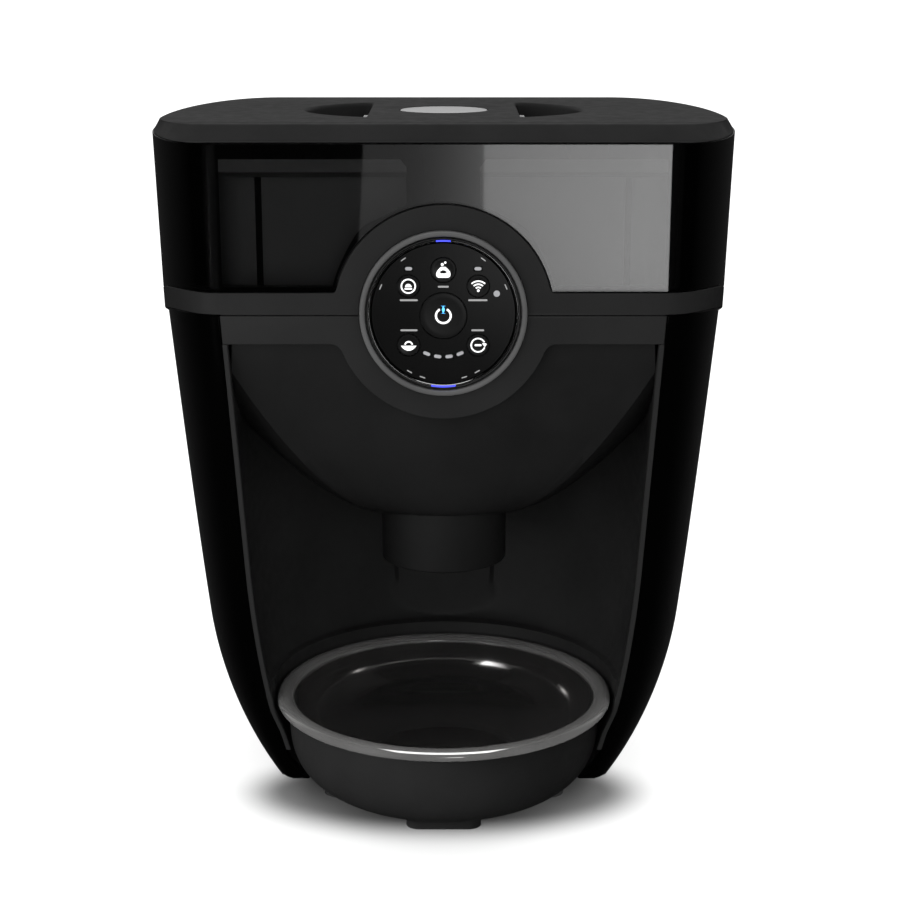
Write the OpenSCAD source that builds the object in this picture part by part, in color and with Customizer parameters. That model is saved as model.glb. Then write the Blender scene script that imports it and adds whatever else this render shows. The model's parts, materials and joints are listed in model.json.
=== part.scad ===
// Countertop automatic pet feeder: a hopper over a rotary dispenser, with a round control dial on the
// front, an arched alcove below it and a steel bowl that rides in a pull-out tray.
// Frame: millimetres, +Z up, origin on the floor under the middle of the feeder, front towards -Y.

/* [Body] */
// Overall height, floor to the flat top of the lid
height = 373; // [371:1:375]
// Width at the hopper rim, its widest place
width = 317; // [315:1:319]
// Depth of the housing at the hopper rim
depth = 220.5; // [219:0.5:222]
// How far the front plane retreats from the rim down to the floor
front_lean = 15; // [14:0.5:16]
// Wall thickness of the outer shells
wall = 3; // [2.8:0.1:3.1]
// Width of the flat front face at the rim
flat_width = 241; // [239:1:243]
// Height over which the sides round in towards the floor
round_height = 97; // [94:1:99]
// How far the sides round in at the floor
round_width = 54; // [52:1:55]
// How far the sides bulge half way up
side_bulge = 1.3; // [0.5:0.1:1.5]

/* [Lid and hopper] */
// Height of the bevelled lid above the hopper rim
lid_height = 8.5; // [8:0.5:9]
// Width of the bevel at the front of the lid's flat top
lid_bevel = 14.5; // [13:0.5:15]
// Width of the same bevel at the sides
lid_side_bevel = 9.5; // [8.5:0.5:10]
// Depth of the finger recess in the lid
recess_depth = 14; // [12:0.5:14.5]
// Width of the handle bar across the recess
handle_width = 82; // [78:1:84]
// Height of the smoky hopper window at the front
window_height = 75.5; // [74:0.5:76]
// Height of the band under the window
band_height = 11.7; // [11:0.1:12]
// How far the band drops from the front to the back
band_dip = 35; // [30:1:36]

/* [Dial] */
// Height of the dial centre above the floor
dial_height = 278; // [277:0.5:279]
// Outer diameter of the round shield around the dial
shield_diameter = 112; // [110:1:113]
// Outer diameter of the dial's bezel ring
bezel_diameter = 86; // [85:0.5:86.5]
// How far a button travels
button_travel = 1; // [0.8:0.1:1]

/* [Alcove and bowl] */
// Outer diameter of the bowl's rolled rim
rim_diameter = 183; // [181:1:183]
// Height of the top of the bowl's rim
rim_height = 64.4; // [64:0.1:65]
// Radius of the alcove's arched back wall
alcove_radius = 109; // [108:0.5:110]
// Outer diameter of the food nozzle
nozzle_diameter = 69; // [68:0.5:70]
// Height of the nozzle's mouth above the floor
nozzle_mouth = 129; // [126:1:131]

/* [Dispenser] */
// Radius of the dispenser drum's bore
drum_radius = 35; // [34.5:0.1:35.2]
// Number of paddles on the dispenser wheel
paddles = 6; // [6:1:8]
// Teeth on the drive gear
gear_teeth = 36; // [36:4:40]
// Teeth on the motor pinion
pinion_teeth = 12; // [12:1:13]
// Gear module
gear_module = 1.5; // [1.4:0.1:1.5]

/* [Hidden] */
$fn = 72;

arc_steps = 16;                      // facets along each curved side of the housing
gap = 0.3;                           // gap between neighbouring shells
rim_z = height - lid_height;
window_z = rim_z - window_height;
band_z = window_z - band_height;
panel_z = band_z - 15.6;             // lower edge of the front panel
floor_gap = 3;                       // height of the shells above the floor
back_y = 141;
rim_front_y = back_y - depth;
lean = atan(front_lean / rim_z);
dial_y = rim_front_y + front_lean * (rim_z - dial_height) / rim_z;
shield_r = shield_diameter / 2;
bezel_r = bezel_diameter / 2;
seam_z = dial_height - 1;            // where the upper shield meets the front panel
rear_split = 150;                    // angle round the side at which the rear cover starts

bowl_y = -49.5;                      // axis of the bowl, its tray and the alcove's arch
drum_y = -12;                        // axis of the dispenser and the nozzle
drum_z = 204;
drum_half = 30;                      // half the drum's inside length
throat_z = 243;                      // where the tank's throat meets the drum's chimney
pinion_angle = 35;                   // direction of the pinion from the wheel's axis
mesh_distance = gear_module * (gear_teeth + pinion_teeth) / 2 + 0.1;
pinion_y = drum_y + mesh_distance * cos(pinion_angle);
pinion_z = drum_z + mesh_distance * sin(pinion_angle);
gear_x = 36;                         // inner face of the gears
gear_width = 7;
shaft_r = 3.5;
running = 0.05;                      // radial clearance of a turning fit

nozzle_r = nozzle_diameter / 2;
nozzle_top = 166;
collar_in = wall + gap;              // inset of the tank's collar from the rim outline
collar_wall = 2.5;
plug_in = collar_in + collar_wall + 2.2;
plug_depth = 12.5;
lid_y = (rim_front_y + back_y) / 2;

door_half = 62;
door_low = 40;
door_high = 112;
inlet_x = 45;
inlet_z = 22;

// ---- curves of the housing ----

function clamp01(s) = max(0, min(1, s));
function ramp(s) = let (c = clamp01(s)) c * c * (3 - 2 * c);
function mix(a, b, s) = a + (b - a) * s;
function round_in(z, w, h) = let (u = clamp01((h - z) / h)) w * (1 - sqrt(1 - u * u));

function front_y(z) = rim_front_y + front_lean * (rim_z - z) / rim_z;
function upper_x(z) = width / 2 - 0.038 * (rim_z - z);
function lower_x(z) = width / 2 - 34.5 + 0.108 * z + side_bulge * sin(180 * clamp01(z / band_z))
    - round_in(z, round_width, round_height);
function crease_x(z) = flat_width / 2 - 24 + 0.066 * z - round_in(z, 30, 140);
function dip(y) = band_dip * ramp((y - dial_y) / (back_y - dial_y));
function skin(z) = wall + 5 * pow(clamp01((30 - z) / 30), 2);

// Closed outline with flat front and back and bowed sides, counterclockwise from the front right corner
function side_point(xc, xs, yf, yb, a) =
    let (ym = (yf + yb) / 2) [xc + (xs - xc) * sin(a), ym - (ym - yf) * cos(a)];
function outline(xc, xs, yf, yb) = concat(
    [for (i = [0:arc_steps]) side_point(xc, xs, yf, yb, 180 * i / arc_steps)],
    [for (i = [arc_steps:-1:0]) let (p = side_point(xc, xs, yf, yb, 180 * i / arc_steps)) [-p[0], p[1]]]);
function at_z(points, z) = [for (p = points) [p[0], p[1], z]];
function upper_ring(z, in) = outline(crease_x(z), upper_x(z) - in, front_y(z) + in, back_y - in);
// The same outline with its height lowered towards the back along the band's dip
function dipped(points, z) = [for (p = points) [p[0], p[1], z - dip(p[1])]];

// Point of the lower body, a = 0 at the front crease and 180 at the back, inset by the given amount
function body_point(z, a, in, side_in) =
    let (p = side_point(crease_x(z), lower_x(z) - side_in, front_y(z) + in, back_y - in, a)) [p[0], p[1], z];
// Height of a point the given share of the way up, from the foot, which rises at the front, to the band
function foot(y) = floor_gap + 14 * pow(clamp01((-15 - y) / 55), 2);
function body_height(s, a) =
    let (y = side_point(0, 1, dial_y, back_y, a)[1]) mix(foot(y), band_z - gap - dip(y), s);
function body_share(k, n) = pow(k / n, 1.35);

// ---- solids from grids of points ----

function tri(q) = [[q[0], q[1], q[2]], [q[0], q[2], q[3]]];

// Wall between two equal grids of points; a closed one runs all the way round
module grid_wall(outer, inner, closed = false) {
    rows = len(outer);
    n = len(outer[0]);
    last = rows - 1;
    steps = closed ? n : n - 1;
    open_rows = closed ? [] : [0:last - 1];
    function o(k, i) = k * n + i % n;
    function c(k, i) = rows * n + o(k, i);
    faces = concat(
        [for (k = [0:last - 1], i = [0:steps - 1])
            each tri([o(k, i), o(k + 1, i), o(k + 1, i + 1), o(k, i + 1)])],
        [for (k = [0:last - 1], i = [0:steps - 1])
            each tri([c(k, i), c(k, i + 1), c(k + 1, i + 1), c(k + 1, i)])],
        [for (i = [0:steps - 1]) each tri([o(0, i), o(0, i + 1), c(0, i + 1), c(0, i)])],
        [for (i = [0:steps - 1]) each tri([o(last, i), c(last, i), c(last, i + 1), o(last, i + 1)])],
        [for (k = open_rows) each tri([o(k + 1, 0), o(k, 0), c(k, 0), c(k + 1, 0)])],
        [for (k = open_rows) each tri([o(k, n - 1), o(k + 1, n - 1), c(k + 1, n - 1), c(k, n - 1)])]);
    polyhedron([each for (r = outer) r, each for (r = inner) r], faces);
}

// Solid through a stack of equal rings, closed at both ends
module loft(rings) {
    n = len(rings[0]);
    last = (len(rings) - 1) * n;
    faces = concat(
        [for (k = [0:len(rings) - 2], i = [0:n - 1])
            each tri([k * n + i, (k + 1) * n + i, (k + 1) * n + (i + 1) % n, k * n + (i + 1) % n])],
        [[for (i = [0:n - 1]) i]],
        [[for (i = [n - 1:-1:0]) last + i]]);
    polyhedron([each for (r = rings) r], faces);
}

// ---- placing ----

// Frame of the dial: XY in the leaning front plane, +Z out of it
module on_dial() {
    translate([0, dial_y, dial_height]) rotate([90 + lean, 0, 0]) children();
}
// Frame whose +Z points along +X and whose X and Y are the world's Y and Z
module along_x(x, y, z) {
    translate([x, y, z]) rotate([90, 0, 90]) children();
}
// Frame whose +Z points straight back
module along_y(x, y, z) {
    translate([x, y, z]) rotate([-90, 0, 0]) children();
}
module ring(r_out, r_in, h) {
    difference() {
        cylinder(r = r_out, h = h);
        translate([0, 0, -1]) cylinder(r = r_in, h = h + 2);
    }
}
module centred_box(x, y, z) {
    translate([-x / 2, -y / 2, 0]) cube([x, y, z]);
}

// ---- outer casings ----

module side_shell(side) {
    rows = 14;
    last = rear_split - 1;
    function grid(inside) = [for (k = [0:rows]) [for (i = [0:arc_steps])
        let (a = last * i / arc_steps, z = body_height(body_share(k, rows), a))
        body_point(z, a, inside * wall, inside * skin(z))]];
    color([0.02, 0.02, 0.022]) mirror([side < 0 ? 1 : 0, 0, 0]) grid_wall(grid(0), grid(1));
}
module side_shell_left() { side_shell(-1); }
module side_shell_right() { side_shell(1); }

REAR_SCREWS = [[74, 20], [98, 128], [98, 226]];
module rear_screw_places() {
    for (side = [-1, 1], p = REAR_SCREWS) along_y(side * p[0], 0, p[1]) children();
}
module rear_cover() {
    corner = 4;
    angles = [for (i = [0:corner]) mix(rear_split, 180, i / corner)];
    function row(z, in) = concat(
        [for (a = angles) body_point(z, a, in, in)],
        [for (i = [corner:-1:0]) let (p = body_point(z, angles[i], in, in)) [-p[0], p[1], p[2]]]);
    levels = [for (k = [0:6]) mix(floor_gap, band_z - band_dip - gap, body_share(k, 6))];
    color([0.13, 0.13, 0.135]) difference() {
        union() {
            grid_wall([for (z = levels) row(z, 0)], [for (z = levels) row(z, wall)]);
            rear_screw_places() translate([0, 0, back_y - wall - 12]) cylinder(r = 4.5, h = 12.5);
        }
        rear_screw_places() {
            translate([0, 0, back_y - 2.2]) cylinder(r = 3.6, h = 5);
            translate([0, 0, back_y - 20]) cylinder(r = 1.5, h = 25);
        }
        translate([-door_half - gap, back_y - 8, door_low - gap])
            cube([2 * (door_half + gap), 12, door_high - door_low + 2 * gap]);
        along_y(-inlet_x, back_y - 8, inlet_z) cylinder(r = 8.8, h = 12);
    }
}

module panel_plate() {
    low = panel_z - dial_height;
    high = seam_z - gap - dial_height;
    polygon([[-crease_x(panel_z) + gap, low], [crease_x(panel_z) - gap, low],
             [crease_x(seam_z) - gap, high], [-crease_x(seam_z) + gap, high]]);
}
module front_panel() {
    high = seam_z - gap - dial_height;
    color([0.17, 0.17, 0.175]) on_dial() difference() {
        union() {
            translate([0, 0, -wall]) linear_extrude(wall) panel_plate();
            translate([0, 0, -wall]) linear_extrude(wall + 1.2) intersection() {
                circle(r = shield_r);
                translate([-shield_r, -shield_r]) square([2 * shield_r, shield_r + high]);
            }
        }
        translate([0, 0, -wall - 1]) cylinder(r = bezel_r + 0.1, h = wall + 4);
    }
}

module mid_band() {
    low = seam_z - dial_height;
    color([0.18, 0.18, 0.185]) difference() {
        union() {
            grid_wall(
                [for (z = [band_z, window_z - gap]) dipped(upper_ring(z, 0), z)],
                [for (z = [band_z, window_z - gap]) dipped(upper_ring(z, wall), z)], true);
            on_dial() translate([0, 0, -wall]) linear_extrude(wall + 1.2) intersection() {
                circle(r = shield_r);
                translate([-shield_r, low]) square([2 * shield_r, shield_r - low]);
            }
        }
        on_dial() translate([0, 0, -wall - 2]) cylinder(r = bezel_r + 0.1, h = wall + 6);
    }
}

module hopper_window() {
    levels = [0, 0.5, 1];
    color([0.2, 0.2, 0.21, 0.6]) difference() {
        grid_wall(
            [for (s = levels) [for (p = upper_ring(mix(window_z, rim_z, s), 0))
                [p[0], p[1], mix(window_z - dip(p[1]), rim_z, s)]]],
            [for (s = levels) [for (p = upper_ring(mix(window_z, rim_z, s), wall))
                [p[0], p[1], mix(window_z - dip(p[1]), rim_z, s)]]], true);
        on_dial() translate([0, 0, -wall - 5]) cylinder(r = shield_r + gap, h = wall + 12);
    }
}

tank_crease = 97;                    // half-width between its front corners
tank_side = 150;
tank_front = -53;
tank_rear = 132;
tank_low = 305;                      // foot of the upright part above the funnel
tank_high = 331;
tank_draft = 2;
tank_wall = 2.5;
module hopper_tank() {
    throat = outline(24, 33, drum_y - 30, drum_y + 30);
    throat_in = outline(22, 30.5, drum_y - 27.5, drum_y + 27.5);
    function waist(z, grow, in) = at_z(outline(tank_crease + grow - in, tank_side + grow - in,
        tank_front - grow + in, tank_rear + grow - in), z);
    function shoulder(z, in) = at_z(outline(crease_x(z) - 9 - in, upper_x(z) - 7 - in,
        front_y(z) + 8 + in, back_y - 8 - in), z);
    function level(z, in) = at_z(upper_ring(z, in), z);
    color([0.05, 0.05, 0.055]) grid_wall(
        [at_z(throat, throat_z), at_z(throat, throat_z + 6),
         waist(tank_low, -tank_draft, 0), waist(tank_high, 0, 0), shoulder(tank_high + 7, 0),
         level(rim_z - 14, collar_in), level(rim_z - gap, collar_in)],
        [at_z(throat_in, throat_z), at_z(throat_in, throat_z + 7),
         waist(tank_low + 1, -tank_draft, tank_wall), waist(tank_high + 1, 0, tank_wall),
         shoulder(tank_high + 9, tank_wall),
         level(rim_z - 14, collar_in + collar_wall), level(rim_z - gap, collar_in + collar_wall)], true);
}

// ---- alcove ----

// Half-width and depth of the alcove wall at height z: a well round the tray, a collar ring and a cove
function well_r(z) = rim_diameter / 2 + 1.6 - round_in(z, 30, 68);
function cove(z) = sqrt(1 - pow(1 - clamp01((z - 70.5) / 26), 2));
function alcove_x(z) = z < 70 ? well_r(z)
    : mix(well_r(70) + 2, min(alcove_radius, crease_x(z) + 3), cove(z));
function alcove_y(z) = z < 70 ? well_r(z) : mix(well_r(70) + 5, alcove_radius, cove(z));
rib_half = 30.5;
function rib_back(x, z) = z < 97 ? 999 : 52 + max(0, abs(x) - rib_half) * 2;

alcove_front = 5;                    // points along the straight stretch by the crease
alcove_arc = 22;                     // steps round the arch
function alcove_start(z) = crease_x(z) + 0.6 - 3 * clamp01((40 - z) / 30);
// Plan of the wall from the right-hand crease round the back to the left-hand crease
function alcove_plan(z, out) = concat(
    [for (i = [0:alcove_front - 1]) let (s = i / alcove_front)
        [mix(alcove_start(z), alcove_x(z), s) + out, mix(front_y(z) + wall + 1, bowl_y, s)]],
    [for (i = [0:alcove_arc]) let (a = 180 * i / alcove_arc, x = (alcove_x(z) + out) * cos(a),
        y = bowl_y + (alcove_y(z) + out) * sin(a)) [x, min(y, rib_back(x, z) + out)]],
    [for (i = [alcove_front - 1:-1:0]) let (s = i / alcove_front)
        [-mix(alcove_start(z), alcove_x(z), s) - out, mix(front_y(z) + wall + 1, bowl_y, s)]]);

// Height at which the funnel's underside meets the wall, for a point that far back
function cowl_edge(y) = let (t = clamp01((55 - y) / 131)) 139 + 92 * pow(t, 0.62) + 30 * pow(t, 8);
module alcove_liner() {
    skin_out = 2.2;
    fixed = [7, 16, 30, 48, 69.9, 70.5, 73, 78, 86, 97];
    tall = 5;
    function top_row(s, out) = let (low = alcove_plan(97.5, out), high = alcove_plan(190, out))
        [for (i = [0:len(low) - 1])
            let (z = mix(97.5, cowl_edge(high[i][1]) + 7, s), p = alcove_plan(z, out)[i])
            [p[0], p[1], z]];
    color([0.08, 0.08, 0.083]) grid_wall(
        concat([for (z = fixed) at_z(alcove_plan(z, skin_out), z)],
               [for (k = [0:tall]) top_row(k / tall, skin_out)]),
        concat([for (z = fixed) at_z(alcove_plan(z, 0), z)],
               [for (k = [0:tall]) top_row(k / tall, 0)]));
}

// Underside of the funnel: runs from the nozzle out to the wall and the front panel
module funnel_cowl() {
    thick = 2.4;
    rows = 7;
    front_steps = 12;
    front_edge_y = front_y(panel_z) + wall + 0.6;
    function panel_edge(x) = abs(x) < shield_r - 2
        ? min(panel_z, dial_height - sqrt(pow(shield_r, 2) - x * x)) : panel_z;
    wall_points = [for (p = alcove_plan(190, -gap))
        if (p[1] > front_edge_y + 4) [p[0], p[1], cowl_edge(p[1])]];
    corner = wall_points[0];
    front_points = [for (i = [0:front_steps])
        let (x = mix(-corner[0] + 2, corner[0] - 2, i / front_steps))
        [x, front_y(panel_edge(x)) + wall + 0.6, panel_edge(x) + 1]];
    edge = concat(wall_points, front_points);
    neck_r = nozzle_r + 0.6;
    function neck(p) = let (d = [p[0], p[1] - drum_y], u = d / norm(d))
        [u[0] * neck_r, drum_y + u[1] * neck_r, 155 - 7 * u[1]];
    function row(s, up) = [for (p = edge) let (n = neck(p))
        [mix(n[0], p[0], s), mix(n[1], p[1], s), mix(n[2], p[2], pow(s, 1.6)) + up]];
    color([0.12, 0.12, 0.125]) grid_wall(
        [for (k = [0:rows]) row(1 - k / rows, 0)], [for (k = [0:rows]) row(1 - k / rows, thick)], true);
}

module food_nozzle() {
    lip = 2;
    thick = 2.5;
    color([0.11, 0.11, 0.112]) translate([0, drum_y, 0]) rotate_extrude() {
        translate([nozzle_r - thick, nozzle_mouth + lip]) square([thick, nozzle_top - nozzle_mouth - lip]);
        translate([nozzle_r - thick, nozzle_mouth]) square([thick - lip, lip + 0.1]);
        translate([nozzle_r - lip, nozzle_mouth + lip]) intersection() {
            circle(r = lip);
            translate([-0.5, -lip]) square([lip + 0.5, lip]);
        }
    }
}

// ---- base ----

tongue_half = 21;
tongue_front = -94.5;
module base_plate() {
    top = 6.5;
    color([0.1, 0.1, 0.102]) union() {
        translate([0, 0, floor_gap]) linear_extrude(top - floor_gap)
            polygon(outline(crease_x(floor_gap) - 2, lower_x(floor_gap) - skin(floor_gap) - 0.5,
                bowl_y - 14, back_y - wall - 1));
        translate([0, 0, gap]) linear_extrude(top - gap) {
            translate([-tongue_half, tongue_front + 6]) square([2 * tongue_half, 40]);
            translate([-tongue_half + 6, tongue_front]) square([2 * tongue_half - 12, 40]);
            for (side = [-1, 1]) translate([side * (tongue_half - 6), tongue_front + 6]) circle(r = 6);
        }
    }
}

module rubber_feet() {
    color([0.05, 0.05, 0.05]) {
        for (x = [-58, 58], y = [-44, 122]) translate([x, y, 0]) cylinder(r = 9, h = floor_gap);
        translate([-12, tongue_front + 10, 0]) cube([24, 14, gap]);
    }
}

// ---- dial ----

ring_r = 39.4;                       // outside of the light ring
ring_in = 36.9;
panel_r = 36.6;
panel_face = 1.4;                    // front of the panel above the front plane
panel_back = -2.2;
board_face = -12;                    // front of the control board
// Buttons: place on the dial and radius
power = [0, -0.8, 12];
feed = [0, 22.9, 6.4];
mode = [-17.8, 14.6, 5.7];
wireless = [17.8, 14.6, 5.7];
portion = [-17.8, -16.2, 5.7];
schedule = [17.8, -16.2, 5.7];
BUTTONS = [power, feed, mode, wireless, portion, schedule];
// Lights: two above the side buttons and an arc of four below the power button
LIGHTS = concat([[-17.6, 23.6, 0], [17.6, 23.6, 0]],
    [for (a = [-22.5, -7.5, 7.5, 22.5]) [22.4 * sin(a), -22.4 * cos(a), a]]);
sensor_place = [27.2, 10.7];

module dial_bezel() {
    color([0.26, 0.26, 0.27]) on_dial() translate([0, 0, -wall]) difference() {
        union() {
            cylinder(r = bezel_r, h = wall + 2.2);
            translate([0, 0, wall + 2.2]) cylinder(r1 = bezel_r, r2 = bezel_r - 1, h = 1);
        }
        translate([0, 0, -1]) cylinder(r = ring_r + 0.8, h = wall + 6);
    }
}
module light_ring() {
    color([0.75, 0.76, 0.78]) on_dial() translate([0, 0, -wall]) ring(ring_r, ring_in, wall + 2);
}
module light_outline(grow) {
    square([4.2, 2.3] + [2 * grow, 2 * grow], center = true);
}
module control_panel() {
    color([0.06, 0.06, 0.065]) on_dial() translate([0, 0, panel_back]) difference() {
        cylinder(r = panel_r, h = panel_face - panel_back);
        for (b = BUTTONS) translate([b[0], b[1], -1]) cylinder(r = b[2] + 0.35, h = 6);
        for (p = LIGHTS) translate([p[0], p[1], -1]) rotate(p[2]) linear_extrude(6) light_outline(0.1);
        translate([sensor_place[0], sensor_place[1], -1]) cylinder(r = 1.7, h = 6);
    }
}
module button(b) {
    travel_stop = board_face + 1.1 + 0.1 + button_travel;
    color([0.09, 0.09, 0.095]) on_dial() translate([b[0], b[1], 0]) {
        translate([0, 0, panel_back - 1]) cylinder(r = b[2], h = panel_face - panel_back + 1.4);
        translate([0, 0, panel_back - 1.6]) cylinder(r = b[2] + 1, h = 1.2);
        translate([0, 0, travel_stop]) cylinder(r = 1.6, h = panel_back - 1 - travel_stop);
    }
}
module power_button() { button(power); }
module feed_button() { button(feed); }
module mode_button() { button(mode); }
module wireless_button() { button(wireless); }
module portion_button() { button(portion); }
module schedule_button() { button(schedule); }
module indicator_lights() {
    color([0.5, 0.6, 0.7]) on_dial() for (p = LIGHTS)
        translate([p[0], p[1], panel_back]) rotate(p[2]) linear_extrude(panel_face - panel_back + 0.1)
            light_outline(0);
}
module proximity_sensor() {
    color([0.3, 0.3, 0.32]) on_dial() translate([sensor_place[0], sensor_place[1], panel_back])
        cylinder(r = 1.6, h = panel_face - panel_back + 0.1);
}
module control_board() {
    color([0.05, 0.25, 0.12]) on_dial() difference() {
        union() {
            translate([0, 0, board_face - 1.6]) cylinder(r = 36, h = 1.6);
            for (b = BUTTONS) translate([b[0], b[1], board_face - 0.1]) centred_box(6, 6, 1.2);
            for (p = LIGHTS) translate([p[0], p[1], board_face - 0.1]) rotate(p[2]) centred_box(3, 1.6, 1.5);
        }
        for (a = [90, 210, 330]) rotate(a) translate([33, 0, board_face - 3]) cylinder(r = 1.2, h = 5);
    }
}
module board_screws() {
    color([0.7, 0.7, 0.72]) on_dial() for (a = [90, 210, 330]) rotate(a) translate([33, 0, board_face]) {
        cylinder(r = 2.2, h = 1.4);
        translate([0, 0, -4]) cylinder(r = 1.1, h = 4.1);
    }
}
module dial_housing() {
    back = board_face - 5;
    color([0.08, 0.08, 0.085]) on_dial() difference() {
        union() {
            translate([0, 0, back]) ring(41.5, 39, -back - wall - gap);
            translate([0, 0, back]) cylinder(r = 40, h = 1.5);
            for (a = [90, 210, 330]) rotate(a) translate([33, 0, back + 1])
                cylinder(r = 3, h = board_face - 1.6 - back - 1);
        }
        for (a = [90, 210, 330]) rotate(a) translate([33, 0, board_face - 4.6]) cylinder(r = 1.2, h = 6);
    }
}

// ---- dispenser ----

module dispenser_drum() {
    outer_r = drum_radius + wall;
    color([0.16, 0.16, 0.165]) difference() {
        union() {
            along_x(-drum_half - wall, drum_y, drum_z) cylinder(r = outer_r, h = 2 * (drum_half + wall));
            translate([0, drum_y, drum_z]) centred_box(2 * (drum_half + wall), 60, throat_z - gap - drum_z);
            translate([0, drum_y, 158]) cylinder(r = 31, h = 30);
        }
        along_x(-drum_half, drum_y, drum_z) cylinder(r = drum_radius, h = 2 * drum_half);
        along_x(-drum_half - wall - 1, drum_y, drum_z) cylinder(r = 6, h = 2 * (drum_half + wall) + 2);
        translate([0, drum_y, drum_z]) centred_box(56, 52, 60);
        translate([0, drum_y, 150]) cylinder(r = 28.5, h = 50);
    }
}
module paddle_wheel() {
    color([0.6, 0.6, 0.58]) along_x(-drum_half + 0.7, drum_y, drum_z) difference() {
        union() {
            cylinder(r = 9, h = 2 * drum_half - 1.4);
            for (i = [0:paddles - 1]) rotate(360 * i / paddles + 15)
                translate([8, -1, 0]) cube([drum_radius - 1.4 - 8, 2, 2 * drum_half - 1.4]);
        }
        translate([0, 0, -1]) cylinder(r = shaft_r + 0.02, h = 2 * drum_half + 2);
    }
}
module wheel_shaft() {
    color([0.75, 0.75, 0.77]) along_x(-drum_half - 6, drum_y, drum_z) cylinder(r = shaft_r, h = 82);
}
module bush() {
    difference() {
        union() {
            cylinder(r = 6, h = wall);
            translate([0, 0, wall]) cylinder(r = 8.5, h = 1.5);
        }
        translate([0, 0, -1]) cylinder(r = shaft_r + running, h = 8);
    }
}
module shaft_bushes() {
    color([0.7, 0.5, 0.25]) {
        along_x(drum_half, drum_y, drum_z) bush();
        mirror([1, 0, 0]) along_x(drum_half, drum_y, drum_z) bush();
    }
}

pressure = 25;
backlash = 0.24;
function inv(a) = tan(a) * 180 / PI - a;
// Half-angle of a tooth at radius r
function tooth_angle(r, pitch_r, teeth) = let (base = pitch_r * cos(pressure), a = acos(min(1, base / r)))
    90 / teeth - backlash / 2 / pitch_r * 180 / PI + inv(pressure) - inv(a);
function gear_outline(teeth) =
    let (pitch_r = gear_module * teeth / 2, root = pitch_r - 1.25 * gear_module,
         base = pitch_r * cos(pressure), low = max(root + 0.1, base), tip = pitch_r + gear_module,
         flank = [for (i = [0:4]) let (r = mix(low, tip, i / 4)) [r, tooth_angle(r, pitch_r, teeth)]],
         half = concat([[root, flank[0][1]]], flank))
    [for (i = [0:teeth - 1]) each concat(
        [for (f = half) let (a = 360 * i / teeth - f[1]) f[0] * [cos(a), sin(a)]],
        [for (j = [len(half) - 1:-1:0])
            let (f = half[j], a = 360 * i / teeth + f[1]) f[0] * [cos(a), sin(a)]])];
module spur_gear(teeth, bore, turned) {
    rotate(turned) difference() {
        linear_extrude(gear_width) polygon(gear_outline(teeth));
        translate([0, 0, -1]) cylinder(r = bore, h = gear_width + 2);
    }
}
module drive_gear() {
    color([0.85, 0.84, 0.8]) along_x(gear_x, drum_y, drum_z) difference() {
        spur_gear(gear_teeth, shaft_r + 0.02, pinion_angle);
        for (a = [0:60:300]) rotate(a) translate([16, 0, -1]) cylinder(r = 4.5, h = gear_width + 2);
    }
}
module motor_pinion() {
    color([0.8, 0.65, 0.3]) along_x(gear_x, pinion_y, pinion_z)
        spur_gear(pinion_teeth, 2.02, pinion_angle + 180 + 180 / pinion_teeth);
}
plate_x = gear_x + gear_width + 1.4;
plate_thick = 2;
motor_x = plate_x + plate_thick;
module motor_shaft() {
    color([0.75, 0.75, 0.77]) along_x(gear_x - 1, pinion_y, pinion_z)
        cylinder(r = 2, h = motor_x - gear_x + 3.5);
}
module gear_motor() {
    color([0.55, 0.55, 0.57]) along_x(motor_x, pinion_y, pinion_z) difference() {
        union() {
            cylinder(r = 12.5, h = 18);
            translate([0, 0, 18]) cylinder(r = 10, h = 26);
            translate([0, 0, 44]) cylinder(r = 3.5, h = 2);
        }
        translate([0, 0, -1]) cylinder(r = 2 + running, h = 5);
    }
}
post_angles = [105, 222, 318];
post_r = 33.8;
module bracket_posts() {
    for (a = post_angles) translate([post_r * cos(a), post_r * sin(a), 0]) children();
}
module motor_bracket() {
    post_h = plate_x - drum_half - wall - gap;
    color([0.35, 0.35, 0.37]) along_x(plate_x, drum_y, drum_z) difference() {
        union() {
            linear_extrude(plate_thick) hull() {
                bracket_posts() circle(r = 5);
                translate([pinion_y - drum_y, pinion_z - drum_z]) circle(r = 14);
            }
            translate([0, 0, -post_h]) bracket_posts() cylinder(r = 3.4, h = post_h + 0.1);
        }
        translate([0, 0, -1]) cylinder(r = shaft_r + 1.5, h = 5);
        translate([pinion_y - drum_y, pinion_z - drum_z, -1]) cylinder(r = 2.6, h = 5);
        translate([0, 0, -post_h - 1]) bracket_posts() cylinder(r = 1.4, h = post_h + 5);
    }
}
module bracket_screws() {
    color([0.7, 0.7, 0.72]) along_x(plate_x + plate_thick, drum_y, drum_z) bracket_posts() {
        cylinder(r = 2.6, h = 1.6);
        translate([0, 0, -11]) cylinder(r = 1.35, h = 11.1);
    }
}
module chute_sensors() {
    color([0.1, 0.12, 0.1]) for (side = [-1, 1])
        translate([-5, drum_y + side * 34 - 2.6, 171]) cube([10, 5.2, 9]);
}

// ---- power ----

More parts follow.
